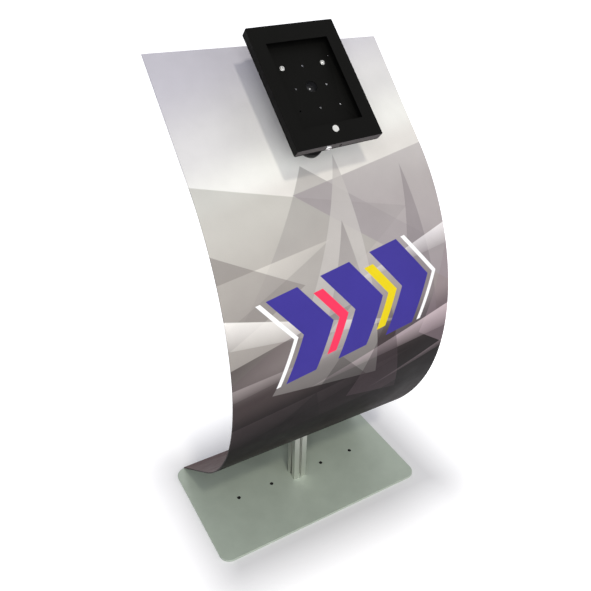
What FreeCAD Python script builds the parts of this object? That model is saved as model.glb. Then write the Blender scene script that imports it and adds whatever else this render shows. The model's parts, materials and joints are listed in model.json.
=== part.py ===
import FreeCAD, Part
import math
import os
import re

import Sketcher

# Curved tablet stand, millimetres. X runs to the right seen from the front, Y to the rear, Z up.
# The origin is on the post's axis, at the floor.

doc = FreeCAD.newDocument("CurvedTabletStand")

SIZES = (
    ("mat_thickness", 1.0, "foam sheet under the plate"),
    ("mat_inset", 3.0, "foam sheet's edge inside the plate's edge"),
    ("plate_width", 650.0, "base plate, left to right"),
    ("plate_depth", 365.0, "base plate, front to rear"),
    ("plate_front", 179.0, "post's axis to the plate's front edge"),
    ("plate_thickness", 6.0, "base plate"),
    ("plate_corner", 30.0, "base plate's corner radius"),
    ("floor_hole_radius", 5.5, "open holes in the plate"),
    ("inner_hole_spacing", 174.8, "between the inner two open holes"),
    ("outer_hole_spacing", 393.0, "between the outer two open holes"),
    ("post_width", 40.0, "square slot profile"),
    ("slot_opening", 8.2, "mouth of a slot"),
    ("slot_lip", 4.5, "thickness of a slot's lips"),
    ("slot_inner", 20.0, "slot's width behind its lips"),
    ("slot_step", 2.5, "straight part of a slot's sides"),
    ("slot_depth", 12.3, "face of the post to a slot's floor"),
    ("slot_floor", 9.4, "width of a slot's floor"),
    ("corner_hole_offset", 15.5, "post's axis to its corner holes, along X and Y"),
    ("cap_thickness", 4.0, "post's end cap"),
    ("cap_gap", 7.0, "end cap to the head bracket above its front edge"),
    ("cap_spigot", 10.0, "end cap's spigot in the post's core hole"),
    ("pin_radius", 2.0, "pins between plate and post"),
    ("pin_height", 14.0, "pins inside the post"),
    ("post_screw_length", 40.0, "countersunk screw into the post's core"),
    ("fit_gap", 0.05, "round a fixed screw, pin or spigot"),
    ("running_gap", 0.08, "round a shaft that turns, and between faces that slide"),
    ("screw_8_radius", 4.0, "large screws and bolts"),
    ("screw_6_radius", 3.0, "clamp and fork screws"),
    ("screw_5_radius", 2.5, "rail and strip screws"),
    ("screw_4_radius", 2.0, "case screws"),
    ("overlap", 1.0, "joined blanks and cutters past the face they meet"),
    ("foot_nut_size", 8.0, "rail and strip nuts, across their flats"),
    ("foot_nut_height", 4.0, "rail and strip nuts"),
    ("clamp_nut_size", 10.0, "clamp nuts, across their flats"),
    ("clamp_nut_height", 5.0, "clamp nuts"),
    ("case_nut_size", 7.0, "case nuts, across their flats"),
    ("case_nut_height", 3.2, "case nuts"),
    ("strip_head_radius", 4.75, "strip screws' heads"),
    ("strip_head_height", 2.8, "strip screws' heads"),
    ("bolt_head_radius", 7.0, "post bolts' heads"),
    ("bolt_head_height", 4.4, "post bolts' heads"),
    ("fork_head_radius", 5.0, "fork screws' heads"),
    ("fork_head_height", 5.6, "fork screws' heads"),
    ("pivot_head_radius", 6.5, "pivot bolt's head"),
    ("pivot_head_height", 8.0, "pivot bolt's head"),
    ("hub_head_size", 13.0, "hub bolt's head, across its flats"),
    ("hub_head_height", 5.3, "hub bolt's head"),
    ("pan_head_radius", 4.6, "case screws' heads"),
    ("pan_head_height", 2.4, "case screws' heads, straight part"),
    ("pan_crown_radius", 3.2, "case screws' heads, at the top"),
    ("pan_crown_height", 0.8, "case screws' heads, sloping part"),
    ("pan_socket_size", 2.5, "case screws' sockets, across the flats"),
    ("pan_socket_floor", 1.5, "case screws' head seat to the socket's floor"),
    ("case_washer_radius", 5.5, "washers under the case screws"),
    ("case_washer_thickness", 0.8, "washers under the case screws"),
    ("case_washer_gap", 0.15, "case washers round their screws"),
    ("case_hole_gap", 0.25, "holes for the case screws, round the screws"),
    ("spare_hole_radius", 6.0, "carrier's lower holes, behind the case's open ones"),
    ("strip_screw_past", 7.0, "strip screws past the rail"),
    ("rail_screw_past", 6.0, "rail screws past the rail"),
    ("clamp_screw_past", 7.0, "clamp screws past the head bracket"),
    ("case_screw_past", 5.0, "case screws past the carrier"),
    ("blind_gap", 1.0, "a screw's tip short of its hole's end"),
    ("panel_width", 592.4, "curved sheet, left to right"),
    ("panel_thickness", 3.0, "curved sheet"),
    ("foot_setback", 1.6, "sheet's foot inside the plate's rear edge"),
    ("foot_slope", 40.5, "degrees, sheet's foot from level"),
    ("foot_straight", 260.0, "flat run at the foot"),
    ("bend_1_radius", 593.7, "lower bend, front face"),
    ("bend_1_turn", 24.91, "degrees"),
    ("bend_2_radius", 512.6, "middle bend, front face"),
    ("bend_2_turn", 30.04, "degrees"),
    ("bend_3_radius", 593.0, "upper bend, front face"),
    ("bend_3_turn", 40.67, "degrees"),
    ("head_straight", 300.0, "flat run at the top"),
    ("post_opening_gap", 3.0, "sheet's cut-out round the post"),
    ("rail_thickness", 3.0, "folded rail under the sheet's foot"),
    ("rail_width", 180.0, "rail and strip, left to right"),
    ("rail_reach", 45.0, "rail's lower flange, forward of the sheet's foot"),
    ("rail_lap", 48.0, "rail's upper flange, up the sheet"),
    ("rail_screw_inset", 14.0, "rail's front edge to its screws"),
    ("rail_screw_spacing", 70.0, "between the rail's two screws"),
    ("strip_low", 10.0, "sheet's foot to the strip's lower edge"),
    ("strip_high", 50.0, "sheet's foot to the strip's upper edge"),
    ("strip_thickness", 3.0, "flat strip over the sheet's foot"),
    ("strip_screw_up", 30.0, "sheet's foot to the strip's screws"),
    ("strip_screw_spacing", 70.0, "between neighbouring strip screws"),
    ("bracket_thickness", 4.0, "head bracket's sloping plate"),
    ("bracket_width", 120.0, "head bracket, left to right"),
    ("bracket_low", 42.0, "below the post's axis, along the slope"),
    ("bracket_high", 105.0, "above the post's axis, along the slope"),
    ("cheek_thickness", 4.0, "head bracket's two cheeks"),
    ("cheek_width", 36.0, "cheeks, front to rear"),
    ("cheek_drop", 100.0, "cheeks below the post's top end"),
    ("upper_bolt_drop", 20.0, "post's top end to the upper bolts"),
    ("lower_bolt_drop", 80.0, "post's top end to the lower bolts"),
    ("slot_nut_gap", 0.5, "slot nut to the sides of its slot"),
    ("slot_nut_depth", 6.0, "slot nut, along its bolt"),
    ("slot_nut_length", 22.0, "slot nut, along the post"),
    ("gasket_thickness", 3.0, "rubber under the front plate"),
    ("gasket_inset", 0.5, "rubber inside the front plate's edge"),
    ("front_plate_radius", 29.0, "front plate's round ends"),
    ("front_plate_thickness", 10.0, "front plate"),
    ("front_plate_low", 8.0, "lower end's centre below the post's axis, along the slope"),
    ("pivot_up", 80.0, "tilt pivot above the post's axis, along the slope"),
    ("clamp_screw_spread", 24.0, "between the clamp screws, left to right"),
    ("clamp_screw_up", 34.0, "upper clamp screws above the post's axis"),
    ("fork_foot_thickness", 8.0, "fork's round foot"),
    ("pivot_rise", 36.4, "front plate to the tilt pivot"),
    ("ear_radius", 12.0, "fork's ears and the tongue's round end"),
    ("ear_thickness", 6.0, "each ear of the fork"),
    ("fork_screw_circle", 21.0, "fork's screws from its middle"),
    ("tongue_width", 16.0, "tongue between the ears"),
    ("tongue_gap", 0.2, "tongue to each ear"),
    ("hub_reach", 45.0, "tilt pivot to the case's back"),
    ("hub_radius", 18.0, "tongue's boss and the carrier's cup"),
    ("boss_thickness", 6.0, "tongue's round boss"),
    ("disc_thickness", 1.0, "friction disc on the boss"),
    ("disc_radius", 17.0, "friction disc"),
    ("washer_thickness", 1.6, "washers on the pivot and the hub"),
    ("washer_radius", 8.0, "washers on the pivot and the hub"),
    ("hub_bolt_depth", 14.0, "hub bolt inside the tongue"),
    ("knob_radius", 17.5, "tilt knob"),
    ("knob_thickness", 18.0, "tilt knob"),
    ("knob_scallop_radius", 5.0, "finger hollows round the knob"),
    ("knob_scallop_turn", 60.0, "degrees, from one finger hollow to the next"),
    ("insert_radius", 6.0, "knob's threaded insert"),
    ("insert_length", 12.0, "knob's threaded insert"),
    ("arm_thickness", 3.0, "carrier's arms"),
    ("arm_width", 18.0, "carrier's arms"),
    ("hole_square", 100.0, "screw pattern on the case's back"),
    ("cup_depth", 18.0, "carrier's cup, case's back to its outer floor"),
    ("cup_wall", 2.0, "carrier's cup wall"),
    ("cup_floor", 3.0, "carrier's cup floor"),
    ("case_tilt", 45.0, "degrees, case's back from level"),
    ("case_roll", 2.8, "degrees, case turned on its hub, right side up"),
    ("case_width", 212.0, "case, left to right"),
    ("case_height", 282.0, "case, along its slope"),
    ("case_thickness", 20.0, "case, back to front"),
    ("case_corner", 3.0, "case's corner radius"),
    ("case_drop", 2.0, "case's middle below the hub"),
    ("sheet_metal", 1.5, "case's steel sheet"),
    ("rim_height", 3.2, "tray's rim"),
    ("seam_gap", 0.3, "between the tray's rim and the front frame"),
    ("lip_thickness", 1.2, "tray's side lips"),
    ("lip_height", 16.0, "tray's side lips, from the case's back"),
    ("lip_gap", 0.1, "side lips to the front frame"),
    ("lip_end_gap", 5.0, "side lips short of the case's ends"),
    ("tray_hole_radius", 13.0, "middle hole in the tray"),
    ("cable_hole_radius", 2.5, "four small holes in the tray"),
    ("cable_hole_up", 50.0, "small holes above and below the hub"),
    ("cable_hole_side", 38.0, "small holes left and right of the hub"),
    ("tooling_hole_radius", 1.2, "pin hole in the tray"),
    ("tooling_hole_side", 71.5, "pin hole right of the hub"),
    ("tooling_hole_up", 64.9, "pin hole above the hub"),
    ("window_width", 149.0, "front frame's window"),
    ("window_height", 196.0, "front frame's window"),
    ("window_up", 2.8, "window's middle above the case's middle"),
    ("button_hole_radius", 7.5, "home button's hole"),
    ("button_down", 108.0, "home button below the case's middle"),
    ("button_proud", 0.4, "home button in front of the frame"),
    ("button_travel", 1.5, "home button's press"),
    ("button_flange_radius", 9.5, "home button's flange"),
    ("button_flange", 1.2, "home button's flange thickness"),
    ("button_stem", 2.0, "home button's stem, behind its flange"),
    ("button_stem_radius", 3.0, "home button's stem"),
    ("clip_gap", 0.3, "home button to its clip"),
    ("clip_wall", 2.5, "button clip's wall"),
    ("clip_floor", 1.2, "button clip's floor"),
    ("lead_hole_radius", 3.0, "charging lead's hole in the bottom side"),
    ("lead_hole_side", 2.0, "lead hole right of the middle"),
    ("lead_hole_drop", 0.5, "lead hole behind the lock's axis"),
    ("lock_side", 29.0, "lock left of the middle"),
    ("lock_depth", 10.0, "lock's axis behind the front face"),
    ("lock_radius", 6.0, "lock's barrel housing"),
    ("lock_length", 19.5, "lock's housing inside the case"),
    ("bezel_radius", 7.0, "lock's chrome ring"),
    ("bezel_height", 3.0, "lock's chrome ring"),
    ("bezel_taper", 1.0, "lock's chrome ring, base radius less end radius"),
    ("keyway_width", 1.0, "lock's keyway"),
    ("keyway_height", 4.8, "lock's keyway"),
    ("keyway_depth", 6.0, "lock's keyway"),
    ("lock_nut_size", 13.6, "lock nut across its flats"),
    ("lock_nut_thickness", 3.0, "lock nut"),
    ("plug_radius", 4.0, "lock's turning plug"),
    ("plug_end", 2.5, "plug past the housing's inner end"),
    ("cam_radius", 8.2, "lock cam, from its axis to its tip"),
    ("cam_width", 6.0, "lock cam"),
    ("cam_thickness", 1.5, "lock cam"),
    ("keeper_gap", 0.3, "lock cam to its keeper"),
    ("keeper_thickness", 1.5, "lock's keeper"),
    ("keeper_width", 3.8, "lock's keeper, along the lock's axis"),
    ("keeper_leg_gap", 1.0, "lock cam's tip to the keeper's leg"),
    ("keeper_lap", 1.0, "keeper's lip past the lock's housing"),
    ("keeper_foot", 8.0, "keeper's foot on the tray"),
    ("cam_screw_radius", 3.0, "head of the cam's screw"),
    ("cam_screw_height", 2.0, "head of the cam's screw"),
    ("cam_screw_socket", 2.5, "socket of the cam's screw, across its flats"),
    ("hinge_radius", 3.0, "hinge knuckles"),
    ("hinge_gap", 0.4, "hinge knuckles to the case"),
    ("hinge_pin_radius", 1.5, "hinge pin"),
    ("leaf_thickness", 1.2, "hinge leaves"),
    ("leaf_width", 160.0, "hinge, left to right"),
    ("leaf_reach", 26.0, "tray's leaf along the case's back"),
    ("leaf_start_gap", 0.5, "knuckles to the frame's leaf"),
    ("leaf_end_gap", 2.0, "frame's leaf to the case's front face"),
    ("knuckle_gap", 0.3, "between neighbouring knuckles"),
    ("pad_height", 7.5, "corner pads in the tray"),
    ("pad_length", 28.0, "corner pads, along the case"),
    ("pad_width", 22.0, "corner pads, across the case"),
    ("pad_wall", 8.0, "corner pads' arms"),
)

WORKED = [
    ("plate_top", "mat_thickness + plate_thickness"),
    ("plate_rear", "plate_depth - plate_front"),
    ("foot_y", "plate_rear - foot_setback"),
    ("heading_0", "180 - foot_slope"),
    ("heading_1", "heading_0 - bend_1_turn"),
    ("heading_2", "heading_1 - bend_2_turn"),
    ("head_slope", "heading_2 - bend_3_turn"),
    ("front_y_0", "foot_y"),
    ("front_z_0", "plate_top"),
    ("front_y_1", "front_y_0 + foot_straight * cos(heading_0)"),
    ("front_z_1", "front_z_0 + foot_straight * sin(heading_0)"),
    ("front_y_2", "front_y_1 + bend_1_radius * (sin(heading_0) - sin(heading_1))"),
    ("front_z_2", "front_z_1 + bend_1_radius * (cos(heading_1) - cos(heading_0))"),
    ("front_y_3", "front_y_2 + bend_2_radius * (sin(heading_1) - sin(heading_2))"),
    ("front_z_3", "front_z_2 + bend_2_radius * (cos(heading_2) - cos(heading_1))"),
    ("front_y_4", "front_y_3 + bend_3_radius * (sin(heading_2) - sin(head_slope))"),
    ("front_z_4", "front_z_3 + bend_3_radius * (cos(head_slope) - cos(heading_2))"),
    ("front_y_5", "front_y_4 + head_straight * cos(head_slope)"),
    ("front_z_5", "front_z_4 + head_straight * sin(head_slope)"),
    ("rear_y_0", "front_y_0 + panel_thickness * sin(heading_0)"),
    ("rear_z_0", "front_z_0 - panel_thickness * cos(heading_0)"),
    ("rear_y_1", "front_y_1 + panel_thickness * sin(heading_0)"),
    ("rear_z_1", "front_z_1 - panel_thickness * cos(heading_0)"),
    ("rear_y_2", "front_y_2 + panel_thickness * sin(heading_1)"),
    ("rear_z_2", "front_z_2 - panel_thickness * cos(heading_1)"),
    ("rear_y_3", "front_y_3 + panel_thickness * sin(heading_2)"),
    ("rear_z_3", "front_z_3 - panel_thickness * cos(heading_2)"),
    ("rear_y_4", "front_y_4 + panel_thickness * sin(head_slope)"),
    ("rear_z_4", "front_z_4 - panel_thickness * cos(head_slope)"),
    ("rear_y_5", "front_y_5 + panel_thickness * sin(head_slope)"),
    ("rear_z_5", "front_z_5 - panel_thickness * cos(head_slope)"),
    ("head_height", "front_z_5 - front_y_5 * tan(head_slope)"),
    ("post_half", "post_width / 2"),
    ("bracket_rear", "panel_thickness + bracket_thickness"),
    ("bracket_drop", "bracket_rear / cos(head_slope)"),
    ("cap_top", "head_height - post_half * tan(head_slope) - bracket_drop - cap_gap"),
    ("post_top", "cap_top - cap_thickness"),
    ("cheek_bottom", "post_top - cheek_drop"),
    ("rail_front", "foot_y - rail_reach"),
    ("rail_corner_up", "rail_thickness * (1 + cos(foot_slope)) / sin(foot_slope)"),
    ("rail_corner_y", "foot_y - rail_corner_up * cos(foot_slope) - rail_thickness * sin(foot_slope)"),
    ("rail_tip_y", "foot_y - rail_lap * cos(foot_slope)"),
    ("rail_tip_z", "plate_top + rail_lap * sin(foot_slope)"),
    ("strip_top", "panel_thickness + strip_thickness"),
    ("front_plate_top", "gasket_thickness + front_plate_thickness"),
    ("fork_foot_top", "front_plate_top + fork_foot_thickness"),
    ("pivot_out", "front_plate_top + pivot_rise"),
    ("pivot_y", "pivot_up * cos(head_slope) - pivot_out * sin(head_slope)"),
    ("pivot_z", "head_height + pivot_up * sin(head_slope) + pivot_out * cos(head_slope)"),
    ("hub_y", "pivot_y - hub_reach * sin(case_tilt)"),
    ("hub_z", "pivot_z + hub_reach * cos(case_tilt)"),
    ("ear_inner", "tongue_width / 2 + tongue_gap"),
    ("ear_outer", "ear_inner + ear_thickness"),
    ("washer_outer", "ear_outer + washer_thickness"),
    ("cup_top", "cup_floor - cup_depth"),
    ("disc_top", "-cup_depth - running_gap"),
    ("boss_top", "disc_top - disc_thickness"),
    ("boss_bottom", "boss_top - boss_thickness"),
    ("hub_washer_base", "cup_top + running_gap"),
    ("hub_head_base", "hub_washer_base + washer_thickness"),
    ("case_top", "case_height / 2 - case_drop"),
    ("case_bottom", "-case_height / 2 - case_drop"),
    ("case_side", "case_width / 2"),
    ("frame_base", "rim_height + seam_gap"),
    ("face_inner", "case_thickness - sheet_metal"),
    ("wall_inner_x", "case_side - sheet_metal"),
    ("wall_inner_top", "case_top - sheet_metal"),
    ("wall_inner_bottom", "case_bottom + sheet_metal"),
    ("lip_outer_x", "wall_inner_x - lip_gap"),
    ("lip_inner_x", "lip_outer_x - lip_thickness"),
    ("window_centre", "window_up - case_drop"),
    ("button_y", "-button_down - case_drop"),
    ("flange_top", "face_inner - clip_gap"),
    ("flange_base", "flange_top - button_flange"),
    ("stem_base", "flange_base - button_stem"),
    ("clip_inside", "stem_base - button_travel - clip_gap"),
    ("clip_bottom", "clip_inside - clip_floor"),
    ("lock_z", "case_thickness - lock_depth"),
    ("lock_front", "case_bottom - bezel_height"),
    ("lock_end", "case_bottom + lock_length"),
    ("plug_tip", "lock_end + plug_end"),
    ("cam_start", "plug_tip - cam_thickness"),
    ("keeper_start", "cam_start - keeper_gap"),
    ("keeper_lip_z", "lock_z + cam_width / 2 + keeper_gap"),
    ("keeper_leg_x", "-lock_side - cam_radius - keeper_leg_gap"),
    ("keeper_lip_x", "-lock_side - lock_radius + keeper_lap"),
    ("hinge_y", "case_top + hinge_radius + hinge_gap"),
    ("hinge_z", "rim_height + seam_gap / 2"),
    ("leaf_outer_y", "case_top + leaf_thickness"),
    ("leaf_start", "hinge_z + hinge_radius + leaf_start_gap"),
    ("knuckle_width", "leaf_width / 5"),
    ("pad_x", "lip_inner_x - seam_gap"),
    ("pad_top_y", "wall_inner_top - seam_gap"),
    ("pad_bottom_y", "wall_inner_bottom + seam_gap"),
]

SHEET_OF = {row[0]: "Sizes" for row in SIZES}
SHEET_OF.update({row[0]: "Worked" for row in WORKED})


def linked(text):
    """Put the sheet's name in front of every size in an expression."""
    def with_sheet(match):
        word = match.group(0)
        return SHEET_OF[word] + "." + word if word in SHEET_OF else word
    return re.sub(r"[A-Za-z_][A-Za-z_0-9]*", with_sheet, text)


def fill_sheet(name, rows):
    """Make a sheet with one named value in each row."""
    sheet = doc.addObject("Spreadsheet::Sheet", name)
    for row, (alias, content, note) in enumerate(rows, start=1):
        sheet.set("A%d" % row, alias)
        sheet.set("B%d" % row, content)
        sheet.set("C%d" % row, note)
        sheet.setAlias("B%d" % row, alias)
    return sheet


sizes = fill_sheet("Sizes", [(alias, str(value), note) for alias, value, note in SIZES])
doc.recompute()
worked = fill_sheet("Worked", [(alias, "=" + linked(formula), "") for alias, formula in WORKED])
doc.recompute()


def number(alias):
    """The present value of one size."""
    return float(getattr(sizes if SHEET_OF[alias] == "Sizes" else worked, alias))


# Directions as rotations of a piece that is made along +Z.
TURN = {
    "up": "rotation(vector(0; 0; 1); 0)",
    "down": "rotation(vector(1; 0; 0); 180)",
    "right": "rotation(vector(0; 1; 0); 90)",
    "left": "rotation(vector(0; 1; 0); -90)",
    "rear": "rotation(vector(1; 0; 0); -90)",
    "front": "rotation(vector(1; 0; 0); 90)",
    "side": "rotation(vector(1; 1; 1); 120)",
}


def spot(x, y, z, turn="up"):
    """A placement at a point, turned so that the piece's own Z points the named way."""
    return "placement(vector(%s; %s; %s); %s)" % (x, y, z, TURN[turn])


# Frames of the three sloping groups: Z stands square to the sheet or the case, Y runs up the slope.
HEAD = "placement(vector(0; 0; head_height); rotation(vector(1; 0; 0); head_slope))"
FOOT = ("placement(vector(0; foot_y; plate_top);"
        " rotation(vector(0; 0; 1); 180) * rotation(vector(1; 0; 0); foot_slope))")
CASE = ("placement(vector(0; hub_y; hub_z);"
        " rotation(vector(1; 0; 0); case_tilt) * rotation(vector(0; 0; 1); case_roll))")


def bind(item, **properties):
    """Tie an object's properties to expressions over the sheets."""
    for name, expression in properties.items():
        item.setExpression(name, linked(expression))
    return item


def add(kind, name):
    item = doc.addObject(kind, name)
    item.Label = name
    return item


def block(name, x, y, z, place=None):
    """A box between two expressions along each axis."""
    item = add("Part::Box", name)
    bind(item, Length="(%s) - (%s)" % (x[1], x[0]))
    bind(item, Width="(%s) - (%s)" % (y[1], y[0]))
    bind(item, Height="(%s) - (%s)" % (z[1], z[0]))
    corner = spot(x[0], y[0], z[0])
    return bind(item, Placement=corner if place is None else place + " * " + corner)


def rod(name, radius, length, x, y, z, turn="up"):
    item = add("Part::Cylinder", name)
    return bind(item, Radius=radius, Height=length, Placement=spot(x, y, z, turn))


def cone(name, radius, end_radius, length, x, y, z, turn="up"):
    item = add("Part::Cone", name)
    return bind(item, Radius1=radius, Radius2=end_radius, Height=length, Placement=spot(x, y, z, turn))


def hexagon(name, across, length, x, y, z, turn="up"):
    item = add("Part::Prism", name)
    item.Polygon = 6
    bind(item, Circumradius="(%s) / 2 / cos(30)" % across, Height=length)
    return bind(item, Placement=spot(x, y, z, turn))


def fuse(name, members, place=None):
    item = add("Part::MultiFuse", name)
    item.Shapes = members
    return item if place is None else bind(item, Placement=place)


def cut(name, base, tools, place=None):
    item = add("Part::Cut", name)
    item.Base = base
    item.Tool = tools[0] if len(tools) == 1 else fuse(name + "_cutters", tools)
    return item if place is None else bind(item, Placement=place)


def group(name, members, place=None):
    """Separate solids that share one node."""
    item = add("Part::Compound", name)
    item.Links = members
    return item if place is None else bind(item, Placement=place)


def draw_polygon(sketch, points):
    """A closed loop of lines through points given as pairs of expressions."""
    first = sketch.GeometryCount
    count = len(points)
    for index in range(count):
        turn = 2 * math.pi / count
        start = FreeCAD.Vector(math.cos(index * turn), math.sin(index * turn), 0)
        end = FreeCAD.Vector(math.cos((index + 1) * turn), math.sin((index + 1) * turn), 0)
        sketch.addGeometry(Part.LineSegment(start, end), False)
    for index in range(count):
        following = first + (index + 1) % count
        sketch.addConstraint(Sketcher.Constraint("Coincident", first + index, 2, following, 1))
    for index, point in enumerate(points):
        hold_point(sketch, first + index, 1, point)


def draw_circle(sketch, radius, x, y):
    index = sketch.addGeometry(Part.Circle(FreeCAD.Vector(0, 0, 0), FreeCAD.Vector(0, 0, 1), 1), False)
    held = sketch.addConstraint(Sketcher.Constraint("Radius", index, 1.0))
    sketch.setExpression("Constraints[%d]" % held, linked(radius))
    hold_point(sketch, index, 3, (x, y))


def hold_point(sketch, geometry, end, point):
    """Tie one point of a sketch to a pair of expressions."""
    for axis, expression in zip(("DistanceX", "DistanceY"), point):
        start = number(expression) if expression in SHEET_OF else 1.0
        held = sketch.addConstraint(Sketcher.Constraint(axis, geometry, end, start))
        sketch.setExpression("Constraints[%d]" % held, linked(expression))


def new_body(name, place=None):
    item = add("PartDesign::Body", name)
    return item if place is None else bind(item, Placement=place)


def new_sketch(body, name, role="XY_Plane", offset=None):
    sketch = body.newObject("Sketcher::SketchObject", name)
    plane = [feature for feature in body.Origin.OriginFeatures if feature.Role == role][0]
    sketch.AttachmentSupport = (plane, [""])
    sketch.MapMode = "FlatFace"
    return sketch if offset is None else bind(sketch, AttachmentOffset=offset)


def pad(body, sketch, length, symmetric=False):
    feature = body.newObject("PartDesign::Pad", sketch.Name + "_pad")
    feature.Profile = sketch
    feature.SideType = "Symmetric" if symmetric else "One side"
    bind(feature, Length=length)
    sketch.Visibility = False
    return feature


def pocket(body, sketch, length, symmetric=False, forward=False):
    """Cut a sketch's outline out of the body; forward cuts along the sketch's own Z."""
    feature = body.newObject("PartDesign::Pocket", sketch.Name + "_pocket")
    feature.Profile = sketch
    feature.SideType = "Symmetric" if symmetric else "One side"
    feature.Reversed = forward
    bind(feature, Length=length)
    sketch.Visibility = False
    return feature


def rectangle(x_low, x_high, y_low, y_high):
    return [(x_low, y_low), (x_high, y_low), (x_high, y_high), (x_low, y_high)]


def round_upright_edges(body, radius):
    """Fillet every straight edge that stands along Z."""
    doc.recompute()
    base = body.Tip
    names = []
    for index, edge in enumerate(base.Shape.Edges, start=1):
        along = edge.tangentAt(edge.FirstParameter)
        if isinstance(edge.Curve, Part.Line) and abs(along.z) > 0.999:
            names.append("Edge%d" % index)
    feature = body.newObject("PartDesign::Fillet", body.Name + "_corners")
    feature.Base = (base, names)
    return bind(feature, Radius=radius)


def prism(name, points, length, place):
    """A side profile pulled straight along its own Z."""
    sketch = add("Sketcher::SketchObject", name + "_profile")
    draw_polygon(sketch, points)
    item = add("Part::Extrusion", name)
    item.Base = sketch
    item.DirMode = "Normal"
    item.Solid = True
    bind(item, LengthFwd=length)
    return bind(item, Placement=place)


def cap_screw(name, radius, length, head_radius, head_height, x, y, z, turn):
    """A socket screw: its head's seat is at the point, its shank runs the named way."""
    shank = rod(name + "_shank", radius, length, "0", "0", "0")
    head = rod(name + "_head", head_radius, head_height, "0", "0", "-(%s)" % head_height)
    socket = hexagon(name + "_socket", radius, head_height, "0", "0", "-1.5 * (%s)" % head_height)
    return cut(name, fuse(name + "_blank", [shank, head]), [socket], spot(x, y, z, turn))


def flat_screw(name, radius, length, head_radius, x, y, z, turn):
    """A countersunk screw: its head's flat face is at the point."""
    shank = rod(name + "_shank", radius, length, "0", "0", "0")
    head = cone(name + "_head", head_radius, radius, "(%s) - (%s)" % (head_radius, radius), "0", "0", "0")
    socket = hexagon(name + "_socket", radius, radius, "0", "0", "-(%s) / 3" % radius)
    return cut(name, fuse(name + "_blank", [shank, head]), [socket], spot(x, y, z, turn))


def flat_screw_hole(name, radius, length, head_radius, x, y, z, turn):
    """The cutter for a countersunk screw, wider than the screw by the fit gap."""
    hole = rod(name + "_hole", radius + " + fit_gap", length, "0", "0", "-0.001")
    sink = cone(name + "_sink", head_radius + " + fit_gap", radius + " + fit_gap",
                "(%s) - (%s)" % (head_radius, radius), "0", "0", "0")
    return fuse(name, [hole, sink], spot(x, y, z, turn))


def hex_nut(name, radius, across, height, x, y, z, turn):
    """A nut: its seat is at the point and it grows the named way."""
    blank = hexagon(name + "_blank", across, height, "0", "0", "0")
    bore = rod(name + "_bore", radius + " + fit_gap", "2 * (%s)" % height, "0", "0", "-(%s) / 2" % height)
    return cut(name, blank, [bore], spot(x, y, z, turn))


def ring(name, inner, outer, thickness, x, y, z, turn="up"):
    blank = rod(name + "_blank", outer, thickness, "0", "0", "0")
    bore = rod(name + "_bore", inner, "2 * (%s)" % thickness, "0", "0", "-(%s) / 2" % thickness)
    return cut(name, blank, [bore], spot(x, y, z, turn))


def make_base():
    """Plate, foam sheet and what fastens the post."""
    holes = ["%s%s / 2" % (side, spacing)
             for side in ("", "-") for spacing in ("inner_hole_spacing", "outer_hole_spacing")]

    mat = new_body("grip_mat")
    outline = new_sketch(mat, "mat_outline")
    draw_polygon(outline, rectangle("mat_inset - plate_width / 2", "plate_width / 2 - mat_inset",
                                    "mat_inset - plate_front", "plate_rear - mat_inset"))
    pad(mat, outline, "mat_thickness")
    round_upright_edges(mat, "plate_corner - mat_inset")
    bores = new_sketch(mat, "mat_holes")
    for centre in holes:
        draw_circle(bores, "floor_hole_radius", centre, "0")
    pocket(mat, bores, "mat_thickness * 2", symmetric=True)

    plate = new_body("plate_blank")
    outline = new_sketch(plate, "plate_outline", offset=spot("0", "0", "mat_thickness"))
    draw_polygon(outline, rectangle("-plate_width / 2", "plate_width / 2", "-plate_front", "plate_rear"))
    pad(plate, outline, "plate_thickness")
    round_upright_edges(plate, "plate_corner")
    bores = new_sketch(plate, "plate_holes")
    for centre in holes:
        draw_circle(bores, "floor_hole_radius", centre, "0")
    for sign in ("", "-"):
        draw_circle(bores, "pin_radius + fit_gap", sign + "corner_hole_offset", sign + "corner_hole_offset")
    pocket(plate, bores, "plate_top * 4", symmetric=True)
    sinks = [flat_screw_hole("post_screw_hole", "screw_8_radius", "plate_top * 2", "screw_8_radius * 2",
                             "0", "0", "mat_thickness", "up")]
    for index, sign in enumerate(("-", "")):
        sinks.append(flat_screw_hole("rail_screw_hole_%d" % index, "screw_5_radius", "plate_top * 2",
                                     "screw_5_radius * 2", sign + "rail_screw_spacing / 2",
                                     "rail_front + rail_screw_inset", "mat_thickness", "up"))
    cut("base_plate", plate, sinks)

    flat_screw("post_screw", "screw_8_radius", "post_screw_length", "screw_8_radius * 2",
               "0", "0", "mat_thickness", "up")
    pins = []
    for index, sign in enumerate(("", "-")):
        pins.append(rod("post_pin_%d" % index, "pin_radius", "plate_thickness + pin_height",
                        sign + "corner_hole_offset", sign + "corner_hole_offset", "mat_thickness"))
    group("post_pins", pins)


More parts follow.
